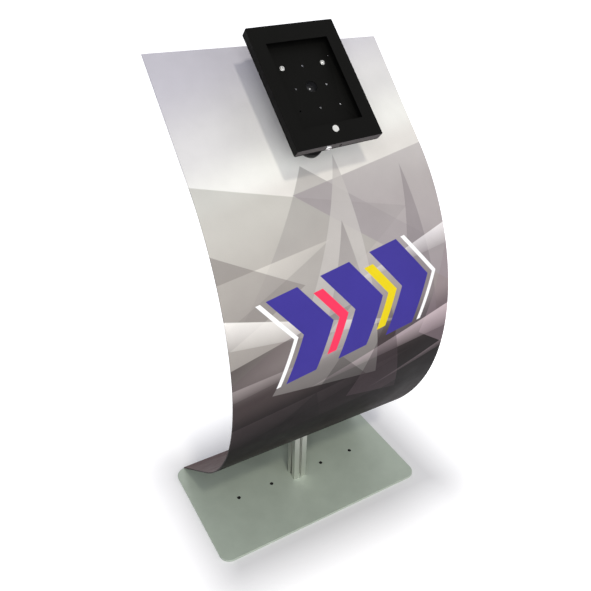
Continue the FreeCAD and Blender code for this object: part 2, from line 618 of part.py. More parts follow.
def make_post():
    """Square profile with a slot in each side, a core hole and four corner holes."""
    post = new_body("post")
    outline = new_sketch(post, "post_outline", offset=spot("0", "0", "plate_top"))
    draw_polygon(outline, rectangle("-post_half", "post_half", "-post_half", "post_half"))
    pad(post, outline, "post_top - plate_top")
    core = new_sketch(post, "post_core")
    draw_circle(core, "screw_8_radius + fit_gap", "0", "0")
    pocket(post, core, "post_top * 2", forward=True)
    slot = new_sketch(post, "post_slot")
    lip = "post_half - slot_lip"
    half = [("post_half + slot_lip", "slot_opening / 2"), (lip, "slot_opening / 2"), (lip, "slot_inner / 2"),
            (lip + " - slot_step", "slot_inner / 2"), ("post_half - slot_depth", "slot_floor / 2")]
    draw_polygon(slot, [(x, "-" + y) for x, y in half] + half[::-1])
    slot_pocket = pocket(post, slot, "post_top * 2", forward=True)
    corner = new_sketch(post, "post_corner_hole")
    draw_circle(corner, "pin_radius + fit_gap", "corner_hole_offset", "corner_hole_offset")
    corner_pocket = pocket(post, corner, "post_top * 2", forward=True)
    doc.recompute()
    pattern = post.newObject("PartDesign::PolarPattern", "post_sides")
    pattern.Originals = [slot_pocket, corner_pocket]
    axis = [feature for feature in post.Origin.OriginFeatures if feature.Role == "Z_Axis"][0]
    pattern.Axis = (axis, [""])
    pattern.Angle = 360
    pattern.Occurrences = 4
    post.Tip = pattern

    lid = block("cap_lid", ("-post_half", "post_half"), ("-post_half", "post_half"), ("post_top", "cap_top"))
    spigot = rod("cap_spigot_rod", "screw_8_radius", "cap_spigot + cap_thickness / 2",
                 "0", "0", "post_top - cap_spigot")
    fuse("post_cap", [lid, spigot])


def make_panel():
    """The bent sheet: its side profile, the cut-out for the post and its screw holes."""
    panel = new_body("curved_panel")
    profile = new_sketch(panel, "panel_profile", "YZ_Plane")
    headings = ["heading_0", "heading_0", "heading_1", "heading_2", "head_slope", "head_slope"]
    radii = {1: "bend_1_radius", 2: "bend_2_radius", 3: "bend_3_radius"}

    def corner(face, index):
        return (face + "_y_%d" % index, face + "_z_%d" % index)

    def draw_run(face, index):
        """One line or arc between two corners of a face; returns which end comes first."""
        here, there = corner(face, index), corner(face, index + 1)
        if index not in radii:
            ends = [FreeCAD.Vector(number(y), number(z), 0) for y, z in (here, there)]
            if face == "rear":
                ends.reverse()
            profile.addGeometry(Part.LineSegment(*ends), False)
            return 1
        radius = number(radii[index]) - (number("panel_thickness") if face == "rear" else 0)
        start = math.radians(number(headings[index]))
        end = math.radians(number(headings[index + 1]))
        centre = FreeCAD.Vector(number(here[0]) + radius * math.sin(start),
                                number(here[1]) - radius * math.cos(start), 0)
        circle = Part.Circle(centre, FreeCAD.Vector(0, 0, 1), radius)
        arc = Part.ArcOfCircle(circle, end + math.pi / 2, start + math.pi / 2)
        geometry = profile.addGeometry(arc, False)
        held = profile.addConstraint(Sketcher.Constraint("Radius", geometry, radius))
        thinner = " - panel_thickness" if face == "rear" else ""
        profile.setExpression("Constraints[%d]" % held, linked(radii[index] + thinner))
        return 2 if face == "front" else 1

    firsts = []
    corners = []
    for index in range(5):
        firsts.append(draw_run("front", index))
        corners.append(corner("front", index))
    profile.addGeometry(Part.LineSegment(FreeCAD.Vector(number("front_y_5"), number("front_z_5"), 0),
                                         FreeCAD.Vector(number("rear_y_5"), number("rear_z_5"), 0)), False)
    firsts.append(1)
    corners.append(corner("front", 5))
    for index in reversed(range(5)):
        firsts.append(draw_run("rear", index))
        corners.append(corner("rear", index + 1))
    profile.addGeometry(Part.LineSegment(FreeCAD.Vector(number("rear_y_0"), number("rear_z_0"), 0),
                                         FreeCAD.Vector(number("front_y_0"), number("front_z_0"), 0)), False)
    firsts.append(1)
    corners.append(corner("rear", 0))
    count = len(firsts)
    for index in range(count):
        following = (index + 1) % count
        profile.addConstraint(Sketcher.Constraint("Coincident", index, 3 - firsts[index],
                                                  following, firsts[following]))
    for index, point in enumerate(corners):
        hold_point(profile, index, firsts[index], point)
    pad(panel, profile, "panel_width", symmetric=True)

    opening = new_sketch(panel, "post_opening")
    reach = "(post_half + post_opening_gap)"
    draw_polygon(opening, rectangle("-" + reach, reach, "-" + reach, reach))
    pocket(panel, opening, "front_z_2", forward=True)

    holes = new_sketch(panel, "panel_head_holes", offset=HEAD)
    for x, y in clamp_screw_spots():
        draw_circle(holes, "screw_6_radius + fit_gap", x, y)
    pocket(panel, holes, "panel_thickness * 4", symmetric=True)
    holes = new_sketch(panel, "panel_foot_holes", offset=FOOT)
    for x in strip_screw_spots():
        draw_circle(holes, "screw_5_radius + fit_gap", x, "strip_screw_up")
    pocket(panel, holes, "panel_thickness * 4", symmetric=True)


def clamp_screw_spots():
    """Where the four clamp screws stand on the head's slope."""
    return [(side + "clamp_screw_spread / 2", up)
            for side in ("-", "") for up in ("-front_plate_low", "clamp_screw_up")]


def strip_screw_spots():
    return ["-strip_screw_spacing", "0", "strip_screw_spacing"]


def make_foot():
    """Folded rail on the plate, strip over the sheet's foot and their screws."""
    inner_tip = ("rail_tip_y - rail_thickness * sin(foot_slope)",
                 "rail_tip_z - rail_thickness * cos(foot_slope)")
    section = [("rail_front", "plate_top"), ("foot_y", "plate_top"), ("rail_tip_y", "rail_tip_z"), inner_tip,
               ("rail_corner_y", "plate_top + rail_thickness"), ("rail_front", "plate_top + rail_thickness")]
    rail = prism("rail_blank", section, "rail_width", spot("-rail_width / 2", "0", "0", "side"))
    slanted = []
    for index, x in enumerate(strip_screw_spots()):
        slanted.append(rod("rail_slant_hole_%d" % index, "screw_5_radius + fit_gap", "rail_thickness * 3",
                           x, "strip_screw_up", "-rail_thickness * 2"))
    slanted = fuse("rail_slant_holes", slanted, FOOT)
    upright = []
    for index, sign in enumerate(("-", "")):
        upright.append(rod("rail_hole_%d" % index, "screw_5_radius + fit_gap", "rail_thickness * 3",
                           sign + "rail_screw_spacing / 2", "rail_front + rail_screw_inset",
                           "plate_top - rail_thickness"))
    cut("foot_rail", rail, [slanted] + upright)

    strip = block("strip_blank", ("-rail_width / 2", "rail_width / 2"), ("strip_low", "strip_high"),
                  ("panel_thickness", "strip_top"))
    holes = [rod("strip_hole_%d" % index, "screw_5_radius + fit_gap", "strip_thickness * 3",
                 x, "strip_screw_up", "panel_thickness - strip_thickness")
             for index, x in enumerate(strip_screw_spots())]
    cut("clamp_strip", strip, holes, FOOT)

    screws = []
    nuts = []
    for index, x in enumerate(strip_screw_spots()):
        screws.append(cap_screw("strip_screw_%d" % index, "screw_5_radius",
                                "strip_top + rail_thickness + strip_screw_past",
                                "strip_head_radius", "strip_head_height",
                                x, "strip_screw_up", "strip_top", "down"))
        nuts.append(hex_nut("strip_nut_%d" % index, "screw_5_radius", "foot_nut_size", "foot_nut_height",
                            x, "strip_screw_up", "-rail_thickness", "down"))
    group("strip_screws", screws, FOOT)
    group("strip_nuts", nuts, FOOT)

    screws = []
    nuts = []
    for index, sign in enumerate(("-", "")):
        where = (sign + "rail_screw_spacing / 2", "rail_front + rail_screw_inset")
        screws.append(flat_screw("rail_screw_%d" % index, "screw_5_radius",
                                 "plate_thickness + rail_thickness + rail_screw_past", "screw_5_radius * 2",
                                 where[0], where[1], "mat_thickness", "up"))
        nuts.append(hex_nut("rail_nut_%d" % index, "screw_5_radius", "foot_nut_size", "foot_nut_height",
                            where[0], where[1], "plate_top + rail_thickness", "up"))
    group("rail_screws", screws)
    group("rail_nuts", nuts)


def make_head():
    """Bracket on the post's top end, front plate over the sheet, and their screws."""
    def under(y):
        return ("head_height + (%s) * tan(head_slope) - (bracket_rear - bracket_thickness / 2)"
                " / cos(head_slope)" % y)

    half = "cheek_width / 2"
    outline = [("-" + half, "cheek_bottom"), (half, "cheek_bottom"),
               (half, under(half)), ("-" + half, under("-" + half))]
    plate = block("bracket_plate", ("-bracket_width / 2", "bracket_width / 2"),
                  ("-bracket_low", "bracket_high"), ("-bracket_rear", "-panel_thickness"), HEAD)
    left_place = spot("-post_half - cheek_thickness", "0", "0", "side")
    left = prism("left_cheek", outline, "cheek_thickness", left_place)
    right = prism("right_cheek", outline, "cheek_thickness", spot("post_half", "0", "0", "side"))
    bolt_holes = [rod("cheek_hole_%d" % index, "screw_8_radius + fit_gap", "post_width * 2",
                      "-post_width", "0", "post_top - " + drop, "right")
                  for index, drop in enumerate(("upper_bolt_drop", "lower_bolt_drop"))]
    screw_holes = fuse("bracket_holes",
                       [rod("bracket_hole_%d" % index, "screw_6_radius + fit_gap", "bracket_rear * 2",
                            x, y, "-bracket_rear * 1.5")
                        for index, (x, y) in enumerate(clamp_screw_spots())], HEAD)
    cut("head_bracket", fuse("bracket_blank", [plate, left, right]), bolt_holes + [screw_holes])

    bolts = []
    nuts = []
    cheek_outer = "post_half + cheek_thickness"
    lip = "post_half - slot_lip"
    wide = "slot_inner / 2 - slot_nut_gap"
    tip = "post_half - slot_lip - slot_nut_depth"
    narrow = "slot_inner / 2 - slot_nut_gap - slot_nut_depth + slot_step"
    for name, turn, sign in (("right", "left", ""), ("left", "right", "-")):
        for index, drop in enumerate(("upper_bolt_drop", "lower_bolt_drop")):
            height = "post_top - " + drop
            bolts.append(cap_screw("%s_bolt_%d" % (name, index), "screw_8_radius",
                                   "cheek_thickness + slot_lip + slot_nut_depth - fit_gap",
                                   "bolt_head_radius", "bolt_head_height",
                                   "%s(%s)" % (sign, cheek_outer), "0", height, turn))
            outline = [(lip, "-(%s)" % wide), (lip, wide), (lip + " - slot_step", wide),
                       (tip, narrow), (tip, "-(%s)" % narrow), (lip + " - slot_step", "-(%s)" % wide)]
            outline = [("%s(%s)" % (sign, x), y) for x, y in outline]
            nut = prism("%s_nut_%d_blank" % (name, index), outline, "slot_nut_length",
                        spot("0", "0", height + " - slot_nut_length / 2"))
            bore = rod("%s_nut_%d_bore" % (name, index), "screw_8_radius + fit_gap", "post_half",
                       "%s(%s)" % (sign, cheek_outer), "0", height, turn)
            nuts.append(cut("%s_nut_%d" % (name, index), nut, [bore]))
    group("head_bolts", bolts)
    group("slot_nuts", nuts)

    def obround(name, shrink, low, high):
        radius = "front_plate_radius - " + shrink
        thick = "(%s) - (%s)" % (high, low)
        return fuse(name, [
            rod(name + "_lower", radius, thick, "0", "-front_plate_low", low),
            rod(name + "_upper", radius, thick, "0", "pivot_up", low),
            block(name + "_middle", ("-(%s)" % radius, radius),
                  ("-front_plate_low", "pivot_up"), (low, high))])

    def through(name, spots, radius, low, length):
        return [rod("%s_%d" % (name, index), radius, length, x, y, low)
                for index, (x, y) in enumerate(spots)]

    cut("front_gasket", obround("gasket_blank", "gasket_inset", "0", "gasket_thickness"),
        through("gasket_hole", clamp_screw_spots(), "screw_6_radius + fit_gap", "-gasket_thickness",
                "gasket_thickness * 3"), HEAD)
    sinks = [flat_screw_hole("front_plate_sink_%d" % index, "screw_6_radius", "front_plate_thickness * 2",
                             "screw_6_radius * 2", x, y, "front_plate_top", "down")
             for index, (x, y) in enumerate(clamp_screw_spots())]
    cut("front_plate", obround("front_plate_blank", "0", "gasket_thickness", "front_plate_top"),
        sinks + through("front_plate_hole", fork_screw_spots(), "screw_6_radius + fit_gap",
                        "gasket_thickness - overlap", "front_plate_thickness * 2"), HEAD)
    screws = []
    nuts = []
    for index, (x, y) in enumerate(clamp_screw_spots()):
        screws.append(flat_screw("clamp_screw_%d" % index, "screw_6_radius",
                                 "front_plate_top + bracket_rear + clamp_screw_past",
                                 "screw_6_radius * 2", x, y, "front_plate_top", "down"))
        nuts.append(hex_nut("clamp_nut_%d" % index, "screw_6_radius", "clamp_nut_size", "clamp_nut_height",
                            x, y, "-bracket_rear", "down"))
    group("clamp_screws", screws, HEAD)
    group("clamp_nuts", nuts, HEAD)


def fork_screw_spots():
    """Where the fork's four screws stand on the head's slope."""
    return [("-fork_screw_circle", "pivot_up"), ("fork_screw_circle", "pivot_up"),
            ("0", "pivot_up - fork_screw_circle"), ("0", "pivot_up + fork_screw_circle")]


def make_tilt_joint():
    """Fork, tongue, pivot bolt and knob."""
    foot = rod("fork_foot", "front_plate_radius", "fork_foot_thickness", "0", "pivot_up", "front_plate_top")
    ears = []
    for name, low, high in (("left", "-ear_outer", "-ear_inner"), ("right", "ear_inner", "ear_outer")):
        ears.append(block(name + "_ear", (low, high), ("pivot_up - ear_radius", "pivot_up + ear_radius"),
                          ("front_plate_top + fork_foot_thickness / 2", "pivot_out")))
        ears.append(rod(name + "_ear_end", "ear_radius", "ear_thickness",
                        low, "pivot_up", "pivot_out", "right"))
    pivot_hole = rod("fork_pivot_hole", "screw_8_radius + fit_gap", "ear_outer * 4", "-ear_outer * 2",
                     "pivot_up", "pivot_out", "right")
    screw_holes = [rod("fork_hole_%d" % index, "screw_6_radius + fit_gap", "fork_foot_thickness * 3", x, y,
                       "front_plate_top - fork_foot_thickness")
                   for index, (x, y) in enumerate(fork_screw_spots())]
    cut("tilt_clevis", fuse("fork_blank", [foot] + ears), [pivot_hole] + screw_holes, HEAD)
    group("clevis_screws",
          [cap_screw("fork_screw_%d" % index, "screw_6_radius",
                     "fork_foot_thickness + front_plate_thickness - blind_gap",
                     "fork_head_radius", "fork_head_height", x, y, "fork_foot_top", "down")
           for index, (x, y) in enumerate(fork_screw_spots())], HEAD)

    group("tilt_bolt",
          [cap_screw("pivot_bolt", "screw_8_radius", "washer_outer * 2 + insert_length - blind_gap",
                     "pivot_head_radius", "pivot_head_height",
                     "-washer_outer", "pivot_up", "pivot_out", "right")], HEAD)
    group("tilt_washers",
          [ring("left_washer", "screw_8_radius + fit_gap", "washer_radius", "washer_thickness",
                "-washer_outer", "pivot_up", "pivot_out", "right"),
           ring("right_washer", "screw_8_radius + fit_gap", "washer_radius", "washer_thickness",
                "ear_outer", "pivot_up", "pivot_out", "right")], HEAD)

    knob = rod("knob_blank", "knob_radius", "knob_thickness", "0", "0", "0")
    hollows = [rod("knob_bore", "insert_radius", "insert_length + overlap * 2", "0", "0", "-overlap")]
    for index in range(6):
        where = "(knob_radius + knob_scallop_radius / 2)"
        turn = "(%d * knob_scallop_turn)" % index
        hollows.append(rod("knob_hollow_%d" % index, "knob_scallop_radius", "knob_thickness * 2",
                           "%s * cos%s" % (where, turn), "%s * sin%s" % (where, turn),
                           "-knob_thickness / 2"))
    pivot_face = spot("washer_outer + running_gap", "pivot_up", "pivot_out", "right")
    cut("tilt_knob", knob, hollows, HEAD + " * " + pivot_face)
    insert = ring("insert_ring", "screw_8_radius + running_gap", "insert_radius", "insert_length", "0", "0", "0")
    group("knob_insert", [insert], HEAD + " * " + pivot_face)

    tongue = block("tongue_bar", ("-tongue_width / 2", "tongue_width / 2"),
                   ("-ear_radius", "ear_radius"), ("-hub_reach", "boss_bottom + boss_thickness / 2"))
    end = rod("tongue_end", "ear_radius", "tongue_width", "-tongue_width / 2", "0", "-hub_reach", "right")
    boss = rod("tongue_boss", "hub_radius", "boss_thickness", "0", "0", "boss_bottom")
    pivot = rod("tongue_pivot_hole", "screw_8_radius + running_gap", "tongue_width * 2",
                "-tongue_width", "0", "-hub_reach", "right")
    hub = rod("tongue_hub_hole", "screw_8_radius + fit_gap", "hub_bolt_depth + overlap * 2",
              "0", "0", "boss_top - hub_bolt_depth - blind_gap")
    cut("tilt_tongue", fuse("tongue_blank", [tongue, end, boss]), [pivot, hub],
        "placement(vector(0; hub_y; hub_z); rotation(vector(1; 0; 0); case_tilt))")


def make_carrier():
    """Hub bolt and the four-armed carrier that the case is screwed to."""
    group("friction_disc", [ring("disc_ring", "screw_8_radius + fit_gap", "disc_radius", "disc_thickness",
                                 "0", "0", "boss_top")], CASE)
    group("hub_washer", [ring("hub_ring", "screw_8_radius + fit_gap", "washer_radius", "washer_thickness",
                              "0", "0", "hub_washer_base")], CASE)
    shank = rod("hub_shank", "screw_8_radius", "hub_head_base - boss_top + hub_bolt_depth",
                "0", "0", "boss_top - hub_bolt_depth")
    head = hexagon("hub_head", "hub_head_size", "hub_head_height", "0", "0", "hub_head_base")
    fuse("hub_bolt", [shank, head], CASE)

    reach = "hole_square / 2"
    members = [rod("cup_outside", "hub_radius", "cup_depth", "0", "0", "-cup_depth")]
    holes = [rod("cup_inside", "hub_radius - cup_wall", "cup_depth", "0", "0", "cup_top"),
             rod("cup_hub_hole", "screw_8_radius + running_gap", "cup_depth * 2",
                 "0", "0", "-cup_depth * 1.5")]
    for index, angle in enumerate((45, -45)):
        arm = add("Part::Box", "arm_%d" % index)
        bind(arm, Length="hole_square * sqrt(2)", Width="arm_width", Height="arm_thickness")
        bind(arm, Placement="placement(vector(0; 0; -arm_thickness); rotation(vector(0; 0; 1); %d)) * %s"
             % (angle, spot("-hole_square / sqrt(2)", "-arm_width / 2", "0")))
        members.append(arm)
    for index, (x, y) in enumerate(((reach, reach), ("-" + reach, reach), ("-" + reach, "-" + reach),
                                    (reach, "-" + reach))):
        members.append(rod("arm_end_%d" % index, "arm_width / 2", "arm_thickness", x, y, "-arm_thickness"))
        radius = "spare_hole_radius" if y.startswith("-") else "screw_4_radius + case_hole_gap"
        holes.append(rod("arm_hole_%d" % index, radius, "arm_thickness * 3", x, y, "-arm_thickness * 2"))
    cut("vesa_plate", fuse("carrier_blank", members), holes, CASE)

    upper = (("left", "-" + reach), ("right", reach))
    screws = []
    for name, x in upper:
        head = rod(name + "_pan_head", "pan_head_radius", "pan_head_height", "0", "0", "-pan_head_height")
        crown = cone(name + "_pan_crown", "pan_head_radius", "pan_crown_radius", "pan_crown_height",
                     "0", "0", "-pan_head_height", "down")
        shank = rod(name + "_pan_shank", "screw_4_radius",
                    "overlap + case_washer_thickness + sheet_metal + arm_thickness + case_screw_past",
                    "0", "0", "-overlap")
        socket = hexagon(name + "_pan_socket", "pan_socket_size", "pan_head_height * 2",
                         "0", "0", "-pan_socket_floor - pan_head_height * 2")
        screws.append(cut(name + "_pan_screw", fuse(name + "_pan_blank", [head, crown, shank]), [socket],
                          spot(x, reach, "sheet_metal + case_washer_thickness", "down")))
    group("vesa_screws", screws, CASE)
    washers = [ring(name + "_case_washer", "screw_4_radius + case_washer_gap", "case_washer_radius",
                    "case_washer_thickness", x, reach, "sheet_metal")
               for name, x in upper]
    group("vesa_washers", washers, CASE)
    nuts = [hex_nut(name + "_case_nut", "screw_4_radius", "case_nut_size", "case_nut_height",
                    x, reach, "-arm_thickness", "down")
            for name, x in upper]
    group("vesa_nuts", nuts, CASE)


def make_tray():
    """Back shell of the case, its corner pads and the lock's keeper."""
    tray = new_body("case_tray", CASE)
    outline = new_sketch(tray, "tray_outline")
    draw_polygon(outline, rectangle("-case_side", "case_side", "case_bottom", "case_top"))
    pad(tray, outline, "rim_height")
    round_upright_edges(tray, "case_corner")
    inside = new_sketch(tray, "tray_inside", offset=spot("0", "0", "sheet_metal"))
    draw_polygon(inside, rectangle("-wall_inner_x", "wall_inner_x", "wall_inner_bottom", "wall_inner_top"))
    pocket(tray, inside, "rim_height", forward=True)
    lips = new_sketch(tray, "tray_lips", offset=spot("0", "0", "sheet_metal"))
    lip_ends = ("case_bottom + lip_end_gap", "case_top - lip_end_gap")
    draw_polygon(lips, rectangle("lip_inner_x", "lip_outer_x", lip_ends[0], lip_ends[1]))
    draw_polygon(lips, rectangle("-lip_outer_x", "-lip_inner_x", lip_ends[0], lip_ends[1]))
    pad(tray, lips, "lip_height - sheet_metal")
    holes = new_sketch(tray, "tray_holes")
    draw_circle(holes, "tray_hole_radius", "0", "0")
    reach = "hole_square / 2"
    for x, y in ((reach, reach), ("-" + reach, reach), ("-" + reach, "-" + reach), (reach, "-" + reach)):
        draw_circle(holes, "screw_4_radius + case_hole_gap", x, y)
    for sign in ("", "-"):
        draw_circle(holes, "cable_hole_radius", sign + "cable_hole_side", "0")
        draw_circle(holes, "cable_hole_radius", "0", sign + "cable_hole_up")
    draw_circle(holes, "tooling_hole_radius", "tooling_hole_side", "tooling_hole_up")
    pocket(tray, holes, "sheet_metal * 4", symmetric=True)

    pads = []
    for side in ("", "-"):
        for end, edge, inward in (("top", "pad_top_y", "-"), ("bottom", "pad_bottom_y", "+")):
            name = "pad_%s_%s" % ("left" if side else "right", end)
            outer = ordered(side, "pad_x - pad_width", "pad_x")
            inner = ordered(side, "pad_x - pad_width - overlap", "pad_x - pad_wall")
            far = "%s %s pad_length" % (edge, inward)
            farther = "%s %s (pad_length + overlap)" % (edge, inward)
            near = "%s %s pad_wall" % (edge, inward)
            spans = ((far, edge), (farther, near)) if end == "top" else ((edge, far), (near, farther))
            solid = block(name + "_solid", outer, spans[0], ("sheet_metal", "sheet_metal + pad_height"))
            notch = block(name + "_notch", inner, spans[1], ("0", "sheet_metal + pad_height * 2"))
            pads.append(cut(name, solid, [notch]))
    group("tray_pads", pads, CASE)

    ends = ("keeper_start", "keeper_start + keeper_width")
    leg = block("keeper_leg", ("keeper_leg_x - keeper_thickness", "keeper_leg_x"), ends,
                ("sheet_metal", "keeper_lip_z + keeper_thickness"))
    lip = block("keeper_lip", ("keeper_leg_x - keeper_thickness", "keeper_lip_x"), ends,
                ("keeper_lip_z", "keeper_lip_z + keeper_thickness"))
    flange = block("keeper_flange", ("keeper_leg_x - keeper_foot", "keeper_leg_x"), ends,
                   ("sheet_metal", "sheet_metal + keeper_thickness"))
    fuse("lock_keeper", [leg, lip, flange], CASE)


def ordered(side, low, high):
    """A span across the case, mirrored for the left side."""
    return ("-(%s)" % high, "-(%s)" % low) if side else (low, high)


def make_front():
    """Window frame of the case."""
    front = new_body("front_frame", CASE)
    outline = new_sketch(front, "front_outline", offset=spot("0", "0", "frame_base"))
    draw_polygon(outline, rectangle("-case_side", "case_side", "case_bottom", "case_top"))
    pad(front, outline, "case_thickness - frame_base")
    round_upright_edges(front, "case_corner")
    inside = new_sketch(front, "front_inside", offset=spot("0", "0", "frame_base"))
    draw_polygon(inside, rectangle("-wall_inner_x", "wall_inner_x", "wall_inner_bottom", "wall_inner_top"))
    pocket(front, inside, "face_inner - frame_base", forward=True)
    window = new_sketch(front, "front_window", offset=spot("0", "0", "frame_base"))
    draw_polygon(window, rectangle("-window_width / 2", "window_width / 2",
                                   "window_centre - window_height / 2", "window_centre + window_height / 2"))
    draw_circle(window, "button_hole_radius", "0", "button_y")
    pocket(front, window, "case_thickness * 2", forward=True)
    bottom = new_sketch(front, "front_bottom_holes", offset=spot("0", "case_bottom", "0", "front"))
    draw_circle(bottom, "lock_radius + fit_gap", "-lock_side", "lock_z")
    draw_circle(bottom, "lead_hole_radius", "lead_hole_side", "lock_z - lead_hole_drop")
    pocket(front, bottom, "sheet_metal * 4", symmetric=True)

    cap = rod("button_cap", "button_hole_radius - running_gap",
              "case_thickness + button_proud - flange_base", "0", "button_y", "flange_base")
    flange = rod("button_flange_disc", "button_flange_radius", "button_flange",
                 "0", "button_y", "flange_base")
    stem = rod("button_stem_rod", "button_stem_radius", "button_stem + button_flange",
               "0", "button_y", "stem_base")
    fuse("home_button", [cap, flange, stem], CASE)
    outside = rod("clip_outside", "button_flange_radius + clip_gap + clip_wall", "face_inner - clip_bottom",
                  "0", "button_y", "clip_bottom")
    inside = rod("clip_inside_rod", "button_flange_radius + clip_gap", "case_thickness",
                 "0", "button_y", "clip_inside")
    cut("button_clip", outside, [inside], CASE)


def make_lock():
    """Cam lock in the front frame's bottom side; its axis runs along the case."""
    def along(name, radius, length, start, turn="rear"):
        """A rod on the lock's axis."""
        return rod(name, radius, length, "-lock_side", start, "lock_z", turn)

    bezel = cone("bezel_ring", "bezel_radius", "bezel_radius - bezel_taper", "bezel_height",
                 "-lock_side", "case_bottom", "lock_z", "front")
    barrel = along("lock_barrel", "lock_radius", "lock_length", "case_bottom")
    bore = along("lock_bore", "plug_radius + running_gap", "lock_length * 3", "case_bottom - lock_length")
    cut("lock_body", fuse("lock_blank", [bezel, barrel]), [bore], CASE)
    nut = hexagon("lock_nut_blank", "lock_nut_size", "lock_nut_thickness",
                  "-lock_side", "wall_inner_bottom", "lock_z", "rear")
    hole = along("lock_nut_hole", "lock_radius + fit_gap", "lock_nut_thickness * 3",
                 "wall_inner_bottom - lock_nut_thickness")
    cut("lock_nut", nut, [hole], CASE)

    plug = along("plug_blank", "plug_radius", "cam_start - lock_front", "lock_front")
    tail = along("plug_tail", "plug_radius / 2", "cam_thickness + overlap", "cam_start - overlap")
    key = block("plug_keyway", ("-lock_side - keyway_width / 2", "-lock_side + keyway_width / 2"),
                ("lock_front - overlap", "lock_front + keyway_depth"),
                ("lock_z - keyway_height / 2", "lock_z + keyway_height / 2"))
    cut("lock_plug", fuse("plug_solid", [plug, tail]), [key], CASE)
    hub = along("cam_hub", "plug_radius", "cam_thickness", "cam_start")
    tip = block("cam_tip", ("-lock_side - cam_width / 2", "-lock_side + cam_width / 2"),
                ("cam_start", "plug_tip"), ("lock_z - cam_radius", "lock_z"))
    trim = along("cam_trim", "cam_radius", "cam_thickness", "cam_start")
    rounded = add("Part::Common", "cam_tip_rounded")
    rounded.Base = tip
    rounded.Tool = trim
    hole = along("cam_hole", "plug_radius / 2", "cam_thickness * 3", "cam_start - cam_thickness")
    cut("lock_cam", fuse("cam_blank", [hub, rounded]), [hole], CASE)
    head = along("cam_screw_head", "cam_screw_radius", "cam_screw_height", "plug_tip")
    socket = hexagon("cam_screw_recess", "cam_screw_socket", "cam_screw_height",
                     "-lock_side", "plug_tip + cam_screw_height / 2", "lock_z", "rear")
    cut("cam_screw", head, [socket], CASE)


def make_hinge():
    """Hinge outside the case's top side; three knuckles on the frame's leaf, two on the tray's."""
    def knuckle(name, place, reach_low, reach_high):
        low = "knuckle_width * %s + knuckle_gap / 2" % place
        span = "knuckle_width - knuckle_gap"
        barrel = rod(name + "_barrel", "hinge_radius", span, low, "hinge_y", "hinge_z", "right")
        tab = block(name + "_tab", (low, low + " + " + span), ("case_top", "leaf_outer_y"),
                    (reach_low, reach_high))
        return [barrel, tab]

    frame_leaf = []
    for index, place in enumerate(("-2.5", "-0.5", "1.5")):
        frame_leaf += knuckle("frame_knuckle_%d" % index, place, "hinge_z", "leaf_start + leaf_start_gap")
    frame_leaf.append(block("frame_leaf_plate", ("-leaf_width / 2", "leaf_width / 2"),
                            ("case_top", "leaf_outer_y"), ("leaf_start", "case_thickness - leaf_end_gap")))
    bore = rod("frame_leaf_bore", "hinge_pin_radius + running_gap", "leaf_width * 2",
               "-leaf_width", "hinge_y", "hinge_z", "right")
    cut("frame_hinge_leaf", fuse("frame_leaf_blank", frame_leaf), [bore], CASE)

    tray_leaf = []
    for index, place in enumerate(("-1.5", "0.5")):
        tray_leaf += knuckle("tray_knuckle_%d" % index, place, "-leaf_thickness", "hinge_z")
    tray_leaf.append(block("tray_leaf_plate", ("-leaf_width / 2", "leaf_width / 2"),
                           ("case_top - leaf_reach", "leaf_outer_y"), ("-leaf_thickness", "0")))
    bore = rod("tray_leaf_bore", "hinge_pin_radius + fit_gap", "leaf_width * 2",
               "-leaf_width", "hinge_y", "hinge_z", "right")
    cut("tray_hinge_leaf", fuse("tray_leaf_blank", tray_leaf), [bore], CASE)
    group("hinge_pin", [rod("hinge_pin_rod", "hinge_pin_radius", "leaf_width", "-leaf_width / 2",
                            "hinge_y", "hinge_z", "right")], CASE)


NODES = (
    "grip_mat", "base_plate", "post", "post_screw", "post_pins", "post_cap",
    "curved_panel", "foot_rail", "clamp_strip", "strip_screws", "strip_nuts", "rail_screws", "rail_nuts",
    "head_bracket", "head_bolts", "slot_nuts", "front_gasket", "front_plate", "clamp_screws", "clamp_nuts",
    "tilt_clevis", "clevis_screws", "tilt_bolt", "tilt_washers", "tilt_knob", "knob_insert", "tilt_tongue",
    "friction_disc", "hub_washer", "hub_bolt", "vesa_plate", "vesa_screws", "vesa_washers", "vesa_nuts",
    "case_tray", "tray_pads", "lock_keeper", "front_frame", "home_button", "button_clip",
    "lock_body", "lock_nut", "lock_plug", "lock_cam", "cam_screw",
    "frame_hinge_leaf", "tray_hinge_leaf", "hinge_pin",
)


def check_and_write():
    """Stop on any failed object; otherwise write each node's shape."""
    doc.recompute()
    failed = [item.Name for item in doc.Objects if "Invalid" in item.State or "Error" in item.State]
    if failed:
        raise RuntimeError("failed objects: " + ", ".join(failed))
    by_label = {item.Label: item for item in doc.Objects}
    for node in NODES:
        shape = by_label[node].Shape
        if shape.isNull() or not shape.isValid() or not shape.Solids:
            raise RuntimeError("bad shape: " + node)
    os.makedirs("parts", exist_ok=True)
    for node in NODES:
        shape = by_label[node].Shape
        shape.exportStep("parts/%s.step" % node)
        box = shape.BoundBox
        spans = (box.XMin, box.XMax, box.YMin, box.YMax, box.ZMin, box.ZMax)
        print("%-18s %2d solids %12.1f mm3" % (node, len(shape.Solids), shape.Volume),
              "  x %7.1f %7.1f  y %7.1f %7.1f  z %7.1f %7.1f" % spans)


make_base()
make_post()
make_panel()
make_foot()
make_head()
make_tilt_joint()
make_carrier()
make_tray()
make_front()
make_lock()
make_hinge()
check_and_write()
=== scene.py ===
import json
import math

import bmesh
import bpy
from bpy.props import FloatProperty, FloatVectorProperty, PointerProperty
from mathutils import Matrix, Vector


